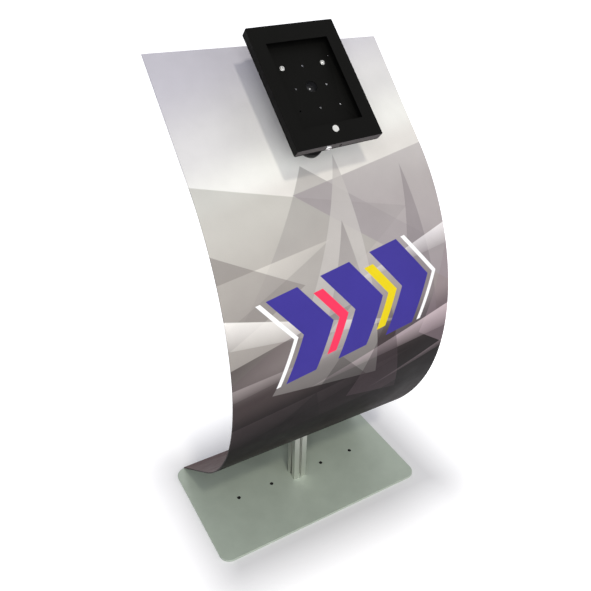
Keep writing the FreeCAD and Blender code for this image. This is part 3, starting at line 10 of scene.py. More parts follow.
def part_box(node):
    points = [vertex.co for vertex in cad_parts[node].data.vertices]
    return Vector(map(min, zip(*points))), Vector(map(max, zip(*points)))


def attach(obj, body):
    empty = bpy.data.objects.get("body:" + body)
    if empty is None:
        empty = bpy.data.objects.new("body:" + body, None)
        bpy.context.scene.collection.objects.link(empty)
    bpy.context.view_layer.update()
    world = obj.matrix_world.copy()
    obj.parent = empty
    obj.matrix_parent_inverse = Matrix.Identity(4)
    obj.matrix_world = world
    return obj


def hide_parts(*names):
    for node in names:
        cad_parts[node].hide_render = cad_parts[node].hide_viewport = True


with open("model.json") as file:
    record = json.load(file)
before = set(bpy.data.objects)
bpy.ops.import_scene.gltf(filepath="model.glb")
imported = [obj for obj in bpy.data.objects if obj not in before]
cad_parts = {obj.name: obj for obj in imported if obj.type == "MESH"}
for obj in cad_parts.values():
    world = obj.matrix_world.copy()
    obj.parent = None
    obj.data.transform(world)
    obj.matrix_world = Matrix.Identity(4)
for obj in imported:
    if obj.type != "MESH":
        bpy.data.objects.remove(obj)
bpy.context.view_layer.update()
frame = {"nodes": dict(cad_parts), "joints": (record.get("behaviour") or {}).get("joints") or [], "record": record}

bl_info = {
    "name": "Curved Tablet Stand",
    "version": (1, 0, 0),
    "blender": (4, 5, 0),
    "location": "View3D > Sidebar > Stand",
    "description": "Printed sheet, tablet case, fittings and finishes of a curved tablet stand",
    "category": "Object",
}


# A point this near a place counts as on it, and points this near each other are welded, in metres.
CLOSE = 1e-5
WELD = 1e-6
# A direction with more than this part along an axis counts as along it, and a normal with more than
# the second part faces that way.
ALONG = 0.9
FACING = 0.5
# How far a cutter stands out of the piece that it cuts, in metres.
OVERCUT = 0.01
MILLIMETRE = 0.001


def linear(red, green, blue):
    """A paint colour given as screen values from 0 to 255."""
    def channel(value):
        value = value / 255
        return value / 12.92 if value <= 0.04045 else ((value + 0.055) / 1.055) ** 2.4
    return channel(red), channel(green), channel(blue)


class StandSizes(bpy.types.PropertyGroup):
    """Sizes of the sheet and the plate."""
    sheet_width: FloatProperty(
        name="Sheet Width", description="Curved sheet, left to right", default=0.5924, unit="LENGTH")
    sheet_thickness: FloatProperty(
        name="Sheet Thickness", description="Curved sheet, front to back", default=0.003, unit="LENGTH")
    foot_y: FloatProperty(
        name="Foot", description="Sheet's foot behind the post's axis", default=0.1844, unit="LENGTH")
    plate_top: FloatProperty(
        name="Plate Top", description="Top of the base plate", default=0.007, unit="LENGTH")
    foot_slope: FloatProperty(
        name="Foot Slope", description="Foot from level", default=math.radians(40.5), subtype="ANGLE")
    foot_straight: FloatProperty(
        name="Foot Straight", description="Flat run at the foot", default=0.26, unit="LENGTH")
    head_straight: FloatProperty(
        name="Head Straight", description="Flat run at the top", default=0.3, unit="LENGTH")
    post_opening: FloatProperty(
        name="Post Opening", description="Cut-out in the sheet for the post", default=0.046, unit="LENGTH")
    plate_corner: FloatProperty(
        name="Plate Corner", description="Corner radius of the plate", default=0.03, unit="LENGTH")
    plate_edge: FloatProperty(
        name="Plate Edge", description="Rounding of the plate's upper edge", default=0.0011, unit="LENGTH")


class CaseSizes(bpy.types.PropertyGroup):
    """Sizes of the tablet case, in its own frame: X right, Y up the slope, Z out of the screen."""
    tilt: FloatProperty(
        name="Tilt", description="Case's back from level", default=math.radians(45), subtype="ANGLE")
    roll: FloatProperty(
        name="Roll", description="Case turned on its hub", default=math.radians(2.8), subtype="ANGLE")
    half_width: FloatProperty(
        name="Half Width", description="Hub to the case's side", default=0.106, unit="LENGTH")
    top: FloatProperty(
        name="Top", description="Hub to the case's top", default=0.139, unit="LENGTH")
    bottom: FloatProperty(
        name="Bottom", description="Hub to the case's bottom", default=-0.143, unit="LENGTH")
    depth: FloatProperty(
        name="Depth", description="Case, back to front", default=0.02, unit="LENGTH")
    seam: FloatProperty(
        name="Seam", description="Case's back to the front frame", default=0.0035, unit="LENGTH")
    metal: FloatProperty(
        name="Sheet Metal", description="Thickness of the case's steel", default=0.0015, unit="LENGTH")
    corner: FloatProperty(
        name="Corner", description="Corner radius of the case", default=0.003, unit="LENGTH")
    front_edge: FloatProperty(
        name="Front Edge", description="Rounding round the case's front", default=0.0009, unit="LENGTH")
    window_width: FloatProperty(
        name="Window Width", description="Window, left to right", default=0.149, unit="LENGTH")
    window_height: FloatProperty(
        name="Window Height", description="Window, top to bottom", default=0.196, unit="LENGTH")
    window_y: FloatProperty(
        name="Window Centre", description="Hub to the window's middle", default=0.0008, unit="LENGTH")
    window_corner: FloatProperty(
        name="Window Corner", description="Corner radius of the window", default=0.0012, unit="LENGTH")
    button_y: FloatProperty(
        name="Button", description="Hub to the home button", default=-0.11, unit="LENGTH")
    button_radius: FloatProperty(
        name="Button Radius", description="Home button's cap", default=0.0074, unit="LENGTH")
    button_hole: FloatProperty(
        name="Button Hole", description="Radius of the hole for the button", default=0.0075, unit="LENGTH")
    lock_x: FloatProperty(
        name="Lock Side", description="Lock's axis right of the middle", default=-0.029, unit="LENGTH")
    lock_z: FloatProperty(
        name="Lock Height", description="Lock's axis above the case's back", default=0.01, unit="LENGTH")
    lock_hole: FloatProperty(
        name="Lock Hole", description="Radius of the hole for the lock", default=0.00605, unit="LENGTH")
    lead_x: FloatProperty(
        name="Lead Side", description="Lead's hole right of the middle", default=0.002, unit="LENGTH")
    lead_z: FloatProperty(
        name="Lead Height", description="Lead's hole above the case's back", default=0.0095, unit="LENGTH")
    lead_hole: FloatProperty(
        name="Lead Hole", description="Radius of the hole for the lead", default=0.003, unit="LENGTH")
    screw_reach: FloatProperty(
        name="Screw Reach", description="Hub to the case's screws, each way", default=0.05, unit="LENGTH")


class FinishColours(bpy.types.PropertyGroup):
    """Colours of the finishes."""
    plate: FloatVectorProperty(
        name="Plate", description="Base plate's powder coat", subtype="COLOR",
        size=3, min=0, max=1, default=linear(170, 181, 167))
    case: FloatVectorProperty(
        name="Case", description="Case's black coat", subtype="COLOR",
        size=3, min=0, max=1, default=linear(12, 12, 11))
    post: FloatVectorProperty(
        name="Post", description="Anodised profile", subtype="COLOR",
        size=3, min=0, max=1, default=linear(226, 226, 222))
    button: FloatVectorProperty(
        name="Button", description="Home button", subtype="COLOR",
        size=3, min=0, max=1, default=linear(205, 205, 202))
    sheet_back: FloatVectorProperty(
        name="Sheet Back", description="Rear face of the sheet", subtype="COLOR",
        size=3, min=0, max=1, default=linear(70, 47, 46))
    navy: FloatVectorProperty(
        name="Navy", description="Wide chevrons", subtype="COLOR",
        size=3, min=0, max=1, default=linear(62, 54, 140))
    red: FloatVectorProperty(
        name="Red", description="Narrow chevron", subtype="COLOR",
        size=3, min=0, max=1, default=linear(236, 58, 92))
    gold: FloatVectorProperty(
        name="Gold", description="Narrow chevron", subtype="COLOR",
        size=3, min=0, max=1, default=linear(222, 200, 30))


def sizes():
    """The sheet's and the plate's sizes."""
    return bpy.context.scene.stand_sizes


def case_sizes():
    """The case's sizes."""
    return bpy.context.scene.case_sizes


def colours():
    """The finishes' colours."""
    return bpy.context.scene.stand_colours


# Materials

# A noise's values lie mostly between these two.
NOISE_LOW = 0.3
NOISE_HIGH = 0.7


class Wiring:
    """A node tree that is wired node by node."""

    def __init__(self, tree):
        self.tree = tree

    def add(self, kind, **settings):
        node = self.tree.nodes.new(kind)
        for name, value in settings.items():
            setattr(node, name, value)
        return node

    def link(self, source, target):
        self.tree.links.new(source, target)

    def feed(self, socket, value):
        """Give a socket a number or another node's output."""
        if isinstance(value, bpy.types.NodeSocket):
            self.link(value, socket)
        else:
            socket.default_value = value

    def math(self, operation, *values, clamp=False):
        """Work out one operation on numbers or other nodes' outputs."""
        node = self.add("ShaderNodeMath", operation=operation, use_clamp=clamp)
        for socket, value in zip(node.inputs, values):
            self.feed(socket, value)
        return node.outputs[0]

    def seen(self):
        """1 on rays from the camera, off a gloss or through glass, and 0 on diffuse and shadow rays."""
        rays = self.add("ShaderNodeLightPath")
        direct = self.math("MAXIMUM", rays.outputs["Is Camera Ray"], rays.outputs["Is Glossy Ray"])
        return self.math("MAXIMUM", direct, rays.outputs["Is Transmission Ray"])


class Shader(Wiring):
    """A Principled material."""

    def __init__(self, name, colour, roughness, metallic=0.0):
        self.material = bpy.data.materials.new(name)
        self.material.use_nodes = True
        super().__init__(self.material.node_tree)
        self.tree.nodes.clear()
        output = self.add("ShaderNodeOutputMaterial")
        self.surface = self.add("ShaderNodeBsdfPrincipled")
        self.link(self.surface.outputs[0], output.inputs["Surface"])
        self.set("Base Color", (*colour, 1))
        self.set("Roughness", roughness)
        self.set("Metallic", metallic)
        self.place = self.add("ShaderNodeTexCoord").outputs["Object"]
        self.bumped = None

    def set(self, socket, value):
        self.surface.inputs[socket].default_value = value

    def noise(self, scale, detail=2.0, rough=0.5, stretch=(1, 1, 1)):
        """Noise on the piece's own coordinates."""
        mapping = self.add("ShaderNodeMapping")
        mapping.inputs["Scale"].default_value = stretch
        self.link(self.place, mapping.inputs["Vector"])
        node = self.add("ShaderNodeTexNoise")
        node.inputs["Scale"].default_value = scale
        node.inputs["Detail"].default_value = detail
        node.inputs["Roughness"].default_value = rough
        self.link(mapping.outputs[0], node.inputs["Vector"])
        return node.outputs["Fac"]

    def spread(self, value, low, high):
        """Map a noise's middle range onto two values."""
        node = self.add("ShaderNodeMapRange")
        node.inputs["From Min"].default_value = NOISE_LOW
        node.inputs["From Max"].default_value = NOISE_HIGH
        node.inputs["To Min"].default_value = low
        node.inputs["To Max"].default_value = high
        self.link(value, node.inputs["Value"])
        return node.outputs[0]

    def mix(self, factor, first, second, blend="MIX"):
        """Blend two colours, each a tuple or another node's output."""
        node = self.add("ShaderNodeMix", data_type="RGBA", blend_type=blend)
        self.feed(node.inputs["Factor"], factor)
        self.feed(node.inputs["A"], (*first, 1) if isinstance(first, tuple) else first)
        self.feed(node.inputs["B"], (*second, 1) if isinstance(second, tuple) else second)
        return node.outputs["Result"]

    def bump(self, height, strength, distance):
        """Lay a relief over the ones that are there."""
        node = self.add("ShaderNodeBump")
        node.inputs["Strength"].default_value = strength
        node.inputs["Distance"].default_value = distance
        self.link(height, node.inputs["Height"])
        if self.bumped is not None:
            self.link(self.bumped, node.inputs["Normal"])
        self.bumped = node.outputs[0]
        self.link(self.bumped, self.surface.inputs["Normal"])

    def vary(self, colour, scale, amount, stretch=(1, 1, 1)):
        """Let the colour drift a little over the surface."""
        dark = tuple(channel * (1 - amount) for channel in colour)
        light = tuple(min(1.0, channel * (1 + amount)) for channel in colour)
        drift = self.spread(self.noise(scale, detail=3, rough=0.6, stretch=stretch), 0, 1)
        self.link(self.mix(drift, dark, light), self.surface.inputs["Base Color"])

    def roughen(self, scale, low, high, stretch=(1, 1, 1)):
        """Let the gloss drift between two values of roughness."""
        drift = self.spread(self.noise(scale, detail=3, rough=0.6, stretch=stretch), low, high)
        self.link(drift, self.surface.inputs["Roughness"])


def powder_coat(name, colour, roughness, grain, mirror=0.5):
    """Paint baked from powder: a fine orange peel and a slight drift in gloss."""
    shader = Shader(name, colour, roughness)
    shader.set("Specular IOR Level", mirror)
    shader.vary(colour, scale=14, amount=0.05)
    shader.roughen(scale=30, low=roughness - 0.05, high=roughness + 0.06)
    shader.bump(shader.noise(900, rough=0.6), strength=grain, distance=0.0002)
    shader.bump(shader.noise(160), strength=grain / 2, distance=0.0002)
    return shader.material


def plated_steel(name, colour, roughness=0.28):
    """Bright or blackened plating with fine, even grain."""
    shader = Shader(name, colour, roughness, metallic=1.0)
    shader.vary(colour, scale=220, amount=0.07)
    shader.roughen(scale=400, low=roughness - 0.07, high=roughness + 0.1)
    shader.bump(shader.noise(1500, rough=0.6), strength=0.08, distance=0.0001)
    return shader.material


def moulded(name, colour, roughness, grain=0.15, scale=1400, mirror=0.5):
    """Plastic or foam with a grain of its own scale."""
    shader = Shader(name, colour, roughness)
    shader.set("Specular IOR Level", mirror)
    shader.vary(colour, scale=60, amount=0.06)
    shader.roughen(scale=90, low=roughness - 0.05, high=roughness + 0.05)
    shader.bump(shader.noise(scale, detail=3, rough=0.6), strength=grain, distance=0.0002)
    return shader.material


def anodised(name, colour):
    """Extruded profile: fine draw lines along its length under a satin anodised skin."""
    shader = Shader(name, colour, roughness=0.34, metallic=1.0)
    shader.vary(colour, scale=900, amount=0.05, stretch=(1, 1, 0.004))
    shader.roughen(scale=700, low=0.28, high=0.42, stretch=(1, 1, 0.01))
    shader.bump(shader.noise(1800, rough=0.6, stretch=(1, 1, 0.003)), strength=0.12, distance=0.0001)
    shader.set("Anisotropic", 0.3)
    return shader.material


# The print on the sheet, in metres across and up

# Each facet is a triangle of clear ink, except the first, which is painted shade on the upper left:
# three corners (X, Z) in turn to the left, its tone, and its strength at the first corner and at the far side.
FACETS_AND_SHADE = (
    # Painted shade: a lilac-grey triangle that darkens the sheet's upper left and fades out towards the right.
    ((-0.31, 1.26), (-0.31, 0.86), (0.30, 1.26), (150, 149, 162), 0.42, 0.0),
    ((-0.31, 1.01), (-0.31, 0.62), (0.20, 0.905), (154, 153, 144), 0.55, 0.40),
    ((-0.04, 1.01), (-0.27, 0.74), (0.30, 0.80), (150, 146, 143), 0.60, 0.30),
    ((-0.31, 0.84), (-0.31, 0.745), (-0.02, 0.875), (226, 222, 213), 0.65, 0.20),
    ((0.33, 1.02), (-0.08, 0.965), (0.33, 0.70), (152, 145, 148), 0.45, 0.72),
    ((0.05, 1.02), (-0.20, 0.56), (0.09, 0.52), (190, 186, 182), 0.80, 0.25),
    ((-0.31, 0.90), (-0.31, 0.70), (-0.10, 0.80), (112, 105, 103), 0.55, 0.45),
    ((0.215, 0.985), (0.13, 0.60), (0.262, 0.64), (112, 104, 109), 0.40, 0.40),
    ((-0.31, 0.775), (-0.31, 0.71), (0.17, 0.655), (240, 237, 232), 0.90, 0.20),
    ((0.33, 0.865), (0.00, 0.77), (0.33, 0.815), (238, 234, 234), 0.85, 0.10),
    ((0.33, 0.90), (0.21, 0.60), (0.33, 0.52), (140, 124, 130), 0.25, 0.50),
    ((0.02, 0.905), (-0.075, 0.66), (0.055, 0.73), (128, 122, 122), 0.60, 0.25),
    ((-0.31, 0.66), (-0.31, 0.50), (0.02, 0.735), (62, 53, 54), 0.80, 0.25),
    ((0.33, 0.67), (-0.10, 0.545), (0.33, 0.60), (218, 200, 204), 0.80, 0.10),
    ((-0.31, 0.61), (-0.31, 0.575), (0.06, 0.64), (200, 190, 188), 0.35, 0.05),
    ((-0.02, 0.61), (-0.17, 0.40), (0.14, 0.44), (34, 28, 30), 0.30, 0.80),
    ((0.12, 0.70), (0.015, 0.46), (0.18, 0.42), (62, 52, 56), 0.30, 0.70),
    ((-0.31, 0.485), (-0.31, 0.40), (0.20, 0.56), (90, 80, 82), 0.25, 0.05),
    ((0.33, 0.52), (0.06, 0.40), (0.33, 0.38), (20, 17, 19), 0.75, 0.40),
    ((-0.08, 0.52), (-0.31, 0.33), (-0.03, 0.33), (22, 19, 20), 0.40, 0.75),
    ((0.33, 0.565), (0.08, 0.46), (0.33, 0.54), (140, 126, 130), 0.60, 0.10),
)

# A facet's edge fades over this width.
FACET_EDGE = 0.0012

# Height and screen colour: the sheet's own shading from foot to top.
WASH = (
    (0.00, (44, 34, 35)), (0.28, (28, 22, 23)), (0.40, (19, 15, 16)), (0.46, (20, 16, 17)),
    (0.52, (29, 24, 25)), (0.60, (66, 58, 58)), (0.68, (146, 137, 135)), (0.88, (192, 186, 181)),
    (0.985, (222, 219, 213)), (1.03, (238, 238, 232)), (1.10, (222, 221, 219)), (1.22, (206, 204, 210)),
)

# The wash's whole height, and how much it rises for each metre to the right.
WASH_HEIGHT = 1.25
WASH_RISE = 0.16

# Chevrons from left to right: X of the inner point, width of the band, half height, colour name.
CHEVRONS = (
    (-0.150, 0.012, 0.105, "white"), (-0.125, 0.080, 0.105, "navy"), (-0.030, 0.026, 0.078, "red"),
    (0.014, 0.080, 0.105, "navy"), (0.109, 0.026, 0.078, "gold"), (0.150, 0.080, 0.105, "navy"),
    (0.243, 0.012, 0.105, "white"),
)


# The row of chevrons: its middle, its tilt in degrees, how far a band leans back for each metre from
# the row's middle line, and the width over which a band's edge fades.
ROW_X = 0.005
ROW_Z = 0.715
ROW_TILT = 9
CHEVRON_LEAN = 0.62
CHEVRON_EDGE = 0.0008


def wash(shader, across, up):
    """The shading from foot to top."""
    ramp = shader.add("ShaderNodeValToRGB")
    ramp.color_ramp.interpolation = "EASE"
    while len(ramp.color_ramp.elements) < len(WASH):
        ramp.color_ramp.elements.new(0.5)
    for element, (height, tone) in zip(ramp.color_ramp.elements, WASH):
        element.position = height / WASH_HEIGHT
        element.color = (*linear(*tone), 1)
    lean = shader.math("MULTIPLY", across, -WASH_RISE)
    shader.link(shader.math("DIVIDE", shader.math("ADD", up, lean), WASH_HEIGHT), ramp.inputs[0])
    return ramp.outputs[0]


def facets(shader, across, up, ink):
    """Lay each facet over the ink that is there."""
    def left_of(start, end):
        """How far a point lies on the left of the line from one corner to the next."""
        run, rise = end[0] - start[0], end[1] - start[1]
        length = math.hypot(run, rise)
        over = shader.math("MULTIPLY", shader.math("SUBTRACT", up, start[1]), run / length)
        aside = shader.math("MULTIPLY", shader.math("SUBTRACT", across, start[0]), rise / length)
        return shader.math("SUBTRACT", over, aside)

    def cut(distance):
        """1 on the left of a line and 0 on its right."""
        return shader.math("ADD", shader.math("DIVIDE", distance, FACET_EDGE), 0.5, clamp=True)

    for first, second, third, tone, near, far in FACETS_AND_SHADE:
        inside = shader.math("MULTIPLY", cut(left_of(first, second)), cut(left_of(third, first)))
        distance = left_of(second, third)
        double_area = ((third[0] - second[0]) * (first[1] - second[1])
                       - (third[1] - second[1]) * (first[0] - second[0]))
        reach = abs(double_area) / math.dist(second, third)
        fade = shader.math("MULTIPLY", distance, (near - far) / reach)
        strength = shader.math("ADD", fade, far, clamp=True)
        mask = shader.math("MULTIPLY", shader.math("MULTIPLY", inside, cut(distance)), strength)
        ink = shader.mix(mask, ink, linear(*tone))
    return ink


def chevrons(shader, across, up, ink):
    """Lay the row of chevrons over the ink that is there."""
    tilt = math.radians(ROW_TILT)
    from_x = shader.math("SUBTRACT", across, ROW_X)
    from_z = shader.math("SUBTRACT", up, ROW_Z)
    local_x = shader.math("ADD", shader.math("MULTIPLY", from_x, math.cos(tilt)),
                          shader.math("MULTIPLY", from_z, math.sin(tilt)))
    local_z = shader.math("SUBTRACT", shader.math("MULTIPLY", from_z, math.cos(tilt)),
                          shader.math("MULTIPLY", from_x, math.sin(tilt)))
    height = shader.math("ABSOLUTE", local_z)
    along = shader.math("ADD", local_x, shader.math("MULTIPLY", height, CHEVRON_LEAN))
    tint = colours()
    paint = {"navy": tuple(tint.navy), "red": tuple(tint.red), "gold": tuple(tint.gold),
             "white": linear(240, 240, 240)}
    for start, width, half, tone in CHEVRONS:
        after = shader.math("DIVIDE", shader.math("SUBTRACT", along, start), CHEVRON_EDGE, clamp=True)
        ahead = shader.math("SUBTRACT", start + width, along)
        before = shader.math("DIVIDE", ahead, CHEVRON_EDGE, clamp=True)
        within = shader.math("DIVIDE", shader.math("SUBTRACT", half, height), CHEVRON_EDGE, clamp=True)
        mask = shader.math("MULTIPLY", shader.math("MULTIPLY", after, before), within)
        ink = shader.mix(mask, ink, paint[tone])
    return ink


def printed(name):
    """Satin print: a wash from pale to nearly black, crossed by clear facets and one facet of painted shade, with
    a row of chevrons.
    """
    shader = Shader(name, colour=(0.6, 0.6, 0.6), roughness=0.36)
    shader.set("Specular IOR Level", 0.05)
    apart = shader.add("ShaderNodeSeparateXYZ")
    shader.link(shader.place, apart.inputs[0])
    across, up = apart.outputs["X"], apart.outputs["Z"]
    ink = wash(shader, across, up)
    ink = facets(shader, across, up, ink)
    ink = chevrons(shader, across, up, ink)
    speckle = shader.spread(shader.noise(1400, rough=0.7), 0.97, 1.03)
    cloud = shader.spread(shader.noise(9, detail=3, rough=0.6), 0.96, 1.04)
    grain = shader.mix(1.0, ink, shader.math("MULTIPLY", speckle, cloud), "MULTIPLY")
    shader.link(grain, shader.surface.inputs["Base Color"])
    shader.roughen(scale=12, low=0.4, high=0.52)
    shader.bump(shader.noise(700, rough=0.6), strength=0.03, distance=0.0002)
    shader.bump(shader.noise(5, detail=1), strength=0.05, distance=0.004)
    return shader.material


# Modelling

# Faces that meet at less than this are shaded as one, in degrees.
SMOOTH_ANGLE = 35


def deselect():
    """Leave edit mode and select nothing."""
    if bpy.context.mode != "OBJECT":
        bpy.ops.object.mode_set(mode="OBJECT")
    bpy.ops.object.select_all(action="DESELECT")


def activate(piece):
    """Select one piece alone."""
    deselect()
    piece.select_set(True)
    bpy.context.view_layer.objects.active = piece


def named(name, finish):
    """Name the new active object and give it its material."""
    piece = bpy.context.object
    piece.name = name
    piece.data.name = name
    piece.data.materials.clear()
    piece.data.materials.append(finish)
    return piece


def box(name, low, high, finish):
    """A block between two corners."""
    deselect()
    low, high = Vector(low), Vector(high)
    bpy.ops.mesh.primitive_cube_add(size=1, location=(low + high) / 2)
    piece = named(name, finish)
    piece.scale = high - low
    bpy.ops.object.transform_apply(location=True, rotation=True, scale=True)
    return piece


def drum(name, radius, low, high, centre, finish, sides=48):
    """A cylinder along Z between two heights."""
    deselect()
    bpy.ops.mesh.primitive_cylinder_add(vertices=sides, radius=radius, depth=high - low,
                                        location=(centre[0], centre[1], (low + high) / 2))
    piece = named(name, finish)
    bpy.ops.object.transform_apply(location=True, rotation=True, scale=True)
    return piece


def upright(middle, along):
    """Test for edges along Z."""
    return abs(along.z) > ALONG


def upward(middle, facing):
    """Test for faces that face up."""
    return facing.z > ALONG


def downward(middle, facing):
    """Test for faces that face down."""
    return facing.z < -ALONG


def level_at(height):
    """Make a test for the edges in a level plane."""
    return lambda middle, along: abs(middle.z - height) < CLOSE


def choose(piece, kind, test):
    """Enter edit mode with only the faces or edges selected whose middle and direction pass a test."""
    activate(piece)
    bpy.ops.object.mode_set(mode="EDIT")
    bpy.ops.mesh.select_mode(type=kind)
    bpy.ops.mesh.select_all(action="DESELECT")
    mesh = bmesh.from_edit_mesh(piece.data)
    for element in mesh.faces if kind == "FACE" else mesh.edges:
        if kind == "FACE":
            middle, along = element.calc_center_median(), element.normal
        else:
            ends = [vertex.co for vertex in element.verts]
            middle, along = (ends[0] + ends[1]) / 2, (ends[1] - ends[0]).normalized()
        element.select_set(bool(test(middle, along)))
    bmesh.update_edit_mesh(piece.data)


def leave():
    """Go back to object mode."""
    bpy.ops.object.mode_set(mode="OBJECT")


def round_edges(piece, test, radius, segments=3):
    """Round the edges that pass a test."""
    choose(piece, "EDGE", test)
    bpy.ops.mesh.bevel(offset=radius, segments=segments, affect="EDGES")
    leave()


def finish_modifier(piece, kind, **settings):
    """Add a modifier and apply it."""
    activate(piece)
    modifier = piece.modifiers.new(kind.title(), kind)
    for name, value in settings.items():
        setattr(modifier, name, value)
    bpy.ops.object.modifier_apply(modifier=modifier.name)


def carve(piece, cutters):
    """Cut each cutter out of a piece and remove it."""
    for cutter in cutters:
        finish_modifier(piece, "BOOLEAN", object=cutter, operation="DIFFERENCE", solver="EXACT")
        bpy.data.objects.remove(cutter)


def join(pieces, name):
    """Make one piece of several."""
    deselect()
    for piece in pieces:
        piece.select_set(True)
    bpy.context.view_layer.objects.active = pieces[0]
    bpy.ops.object.join()
    pieces[0].name = name
    return pieces[0]


def move(piece, matrix):
    """Place a piece and fold its placement into its mesh."""
    activate(piece)
    piece.matrix_world = matrix @ piece.matrix_world
    bpy.ops.object.transform_apply(location=True, rotation=True, scale=True)


def joint_place(name):
    """Where a joint of the frame stands."""
    return Vector([entry["pos_m"] for entry in frame["joints"] if entry["name"] == name][0])


def case_frame():
    """From the case's own frame to the object's frame."""
    turn = Matrix.Rotation(case_sizes().tilt, 4, "X") @ Matrix.Rotation(case_sizes().roll, 4, "Z")
    return Matrix.Translation(joint_place("case_rotate")) @ turn


def low_side(x, z):
    """From a place on the case's lower side, with Z pointing out of it, to the case's own frame."""
    return Matrix.Translation((x, case_sizes().bottom, z)) @ Matrix.Rotation(math.pi / 2, 4, "X")


def seat(piece, body, nodes, matrix=None):
    """Place and smooth a piece, let it ride on its body and stand for its nodes."""
    if matrix is not None:
        move(piece, matrix)
    activate(piece)
    bpy.ops.object.shade_smooth_by_angle(angle=math.radians(SMOOTH_ANGLE))
    finish_modifier(piece, "WEIGHTED_NORMAL", keep_sharp=True, weight=100)
    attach(piece, body)
    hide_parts(*nodes)


def material(name):
    """A finish that the first operator made."""
    return bpy.data.materials[name]


# Finishes of the fittings, by node
FINISH_OF = {
    "grip_mat": "mat_foam", "base_plate": "plate_coat", "post": "profile_skin", "post_screw": "dull_zinc",
    "post_pins": "dull_zinc", "post_cap": "black_moulding", "curved_panel": "sheet_print",
    "foot_rail": "rail_coat", "clamp_strip": "rail_coat", "strip_screws": "bright_zinc",
    "strip_nuts": "dull_zinc", "rail_screws": "dull_zinc", "rail_nuts": "bright_zinc",
    "head_bracket": "black_coat", "head_bolts": "bright_zinc", "slot_nuts": "dull_zinc",
    "front_gasket": "gasket_and_drill_shade", "front_plate": "black_enamel", "clamp_screws": "dull_zinc",
    "clamp_nuts": "bright_zinc", "tilt_clevis": "black_enamel", "clevis_screws": "bright_zinc",
    "tilt_bolt": "bright_zinc", "tilt_washers": "bright_zinc", "tilt_knob": "black_moulding",
    "knob_insert": "turned_brass", "tilt_tongue": "black_enamel", "friction_disc": "nylon_skin",
    "hub_washer": "blackened_steel", "hub_bolt": "blackened_steel", "vesa_plate": "carrier_coat",
    "vesa_screws": "bright_zinc", "vesa_washers": "bright_zinc", "vesa_nuts": "bright_zinc",
    "case_tray": "black_coat", "tray_pads": "pad_foam_skin", "lock_keeper": "bright_zinc",
    "front_frame": "black_coat", "home_button": "button_cap_skin", "button_clip": "black_moulding",
    "lock_body": "lock_chrome_skin", "lock_nut": "dull_zinc", "lock_plug": "lock_chrome_skin",
    "lock_cam": "bright_zinc", "cam_screw": "bright_zinc", "frame_hinge_leaf": "black_coat",
    "tray_hinge_leaf": "black_coat", "hinge_pin": "bright_zinc",
}


class STAND_OT_finishes(bpy.types.Operator):
    """Make the finishes and put them on the fittings"""
    bl_idname = "stand.finishes"
    bl_label = "Finishes"

    def execute(self, context):
        tint = colours()
        powder_coat("plate_coat", tint.plate, roughness=0.42, grain=0.10)
        powder_coat("black_coat", tint.case, roughness=0.55, grain=0.16, mirror=0.05)
        # A lighter grey satin for the case's lower side: a painted sheen.
        powder_coat("sheen_painted_coat", linear(54, 50, 51), roughness=0.4, grain=0.12)
        powder_coat("rail_coat", linear(70, 74, 72), roughness=0.5, grain=0.12)
        powder_coat("black_enamel", linear(16, 16, 17), roughness=0.42, grain=0.06, mirror=0.2)
        powder_coat("carrier_coat", linear(42, 42, 44), roughness=0.38, grain=0.06, mirror=0.35)
        powder_coat("sheet_rear", tint.sheet_back, roughness=0.5, grain=0.03, mirror=0.08)
        anodised("profile_skin", tint.post)
        plated_steel("bright_zinc", linear(205, 205, 203))
        plated_steel("dull_zinc", linear(160, 160, 158), roughness=0.4)
        plated_steel("blackened_steel", linear(58, 58, 60), roughness=0.34)
        plated_steel("lock_chrome_skin", linear(228, 228, 230), roughness=0.12)
        plated_steel("turned_brass", linear(204, 170, 96), roughness=0.3)
        moulded("black_moulding", linear(22, 22, 23), roughness=0.55, mirror=0.25)
        moulded("button_cap_skin", tint.button, roughness=0.4, grain=0.05)
        moulded("mat_foam", linear(34, 34, 34), roughness=0.85, grain=0.4, scale=700)
        moulded("pad_foam_skin", linear(30, 30, 31), roughness=0.9, grain=0.5, scale=600)
        # Dark rubber for the gasket, also laid on the plate's drilled walls as painted shade.
        moulded("gasket_and_drill_shade", linear(24, 24, 24), roughness=0.8, grain=0.2, scale=900)
        moulded("nylon_skin", linear(222, 219, 208), roughness=0.45, grain=0.05)
        printed("sheet_print")
        for node, finish in FINISH_OF.items():
            piece = frame["nodes"][node]
            piece.data.materials.clear()
            piece.data.materials.append(material(finish))
        return {"FINISHED"}


# The sheet's bends from the foot up: radius in metres, turn in degrees, steps round the bend.
SHEET_BENDS = ((0.5937, 24.91, 14), (0.5126, 30.04, 16), (0.593, 40.67, 22))
# The opening for the post is cut up to this height, which is over the sheet's foot and under its head.
POST_CUT = 0.35
# A narrow face has at most this many times the area of the sheet's thin end.
NARROW = 1.5


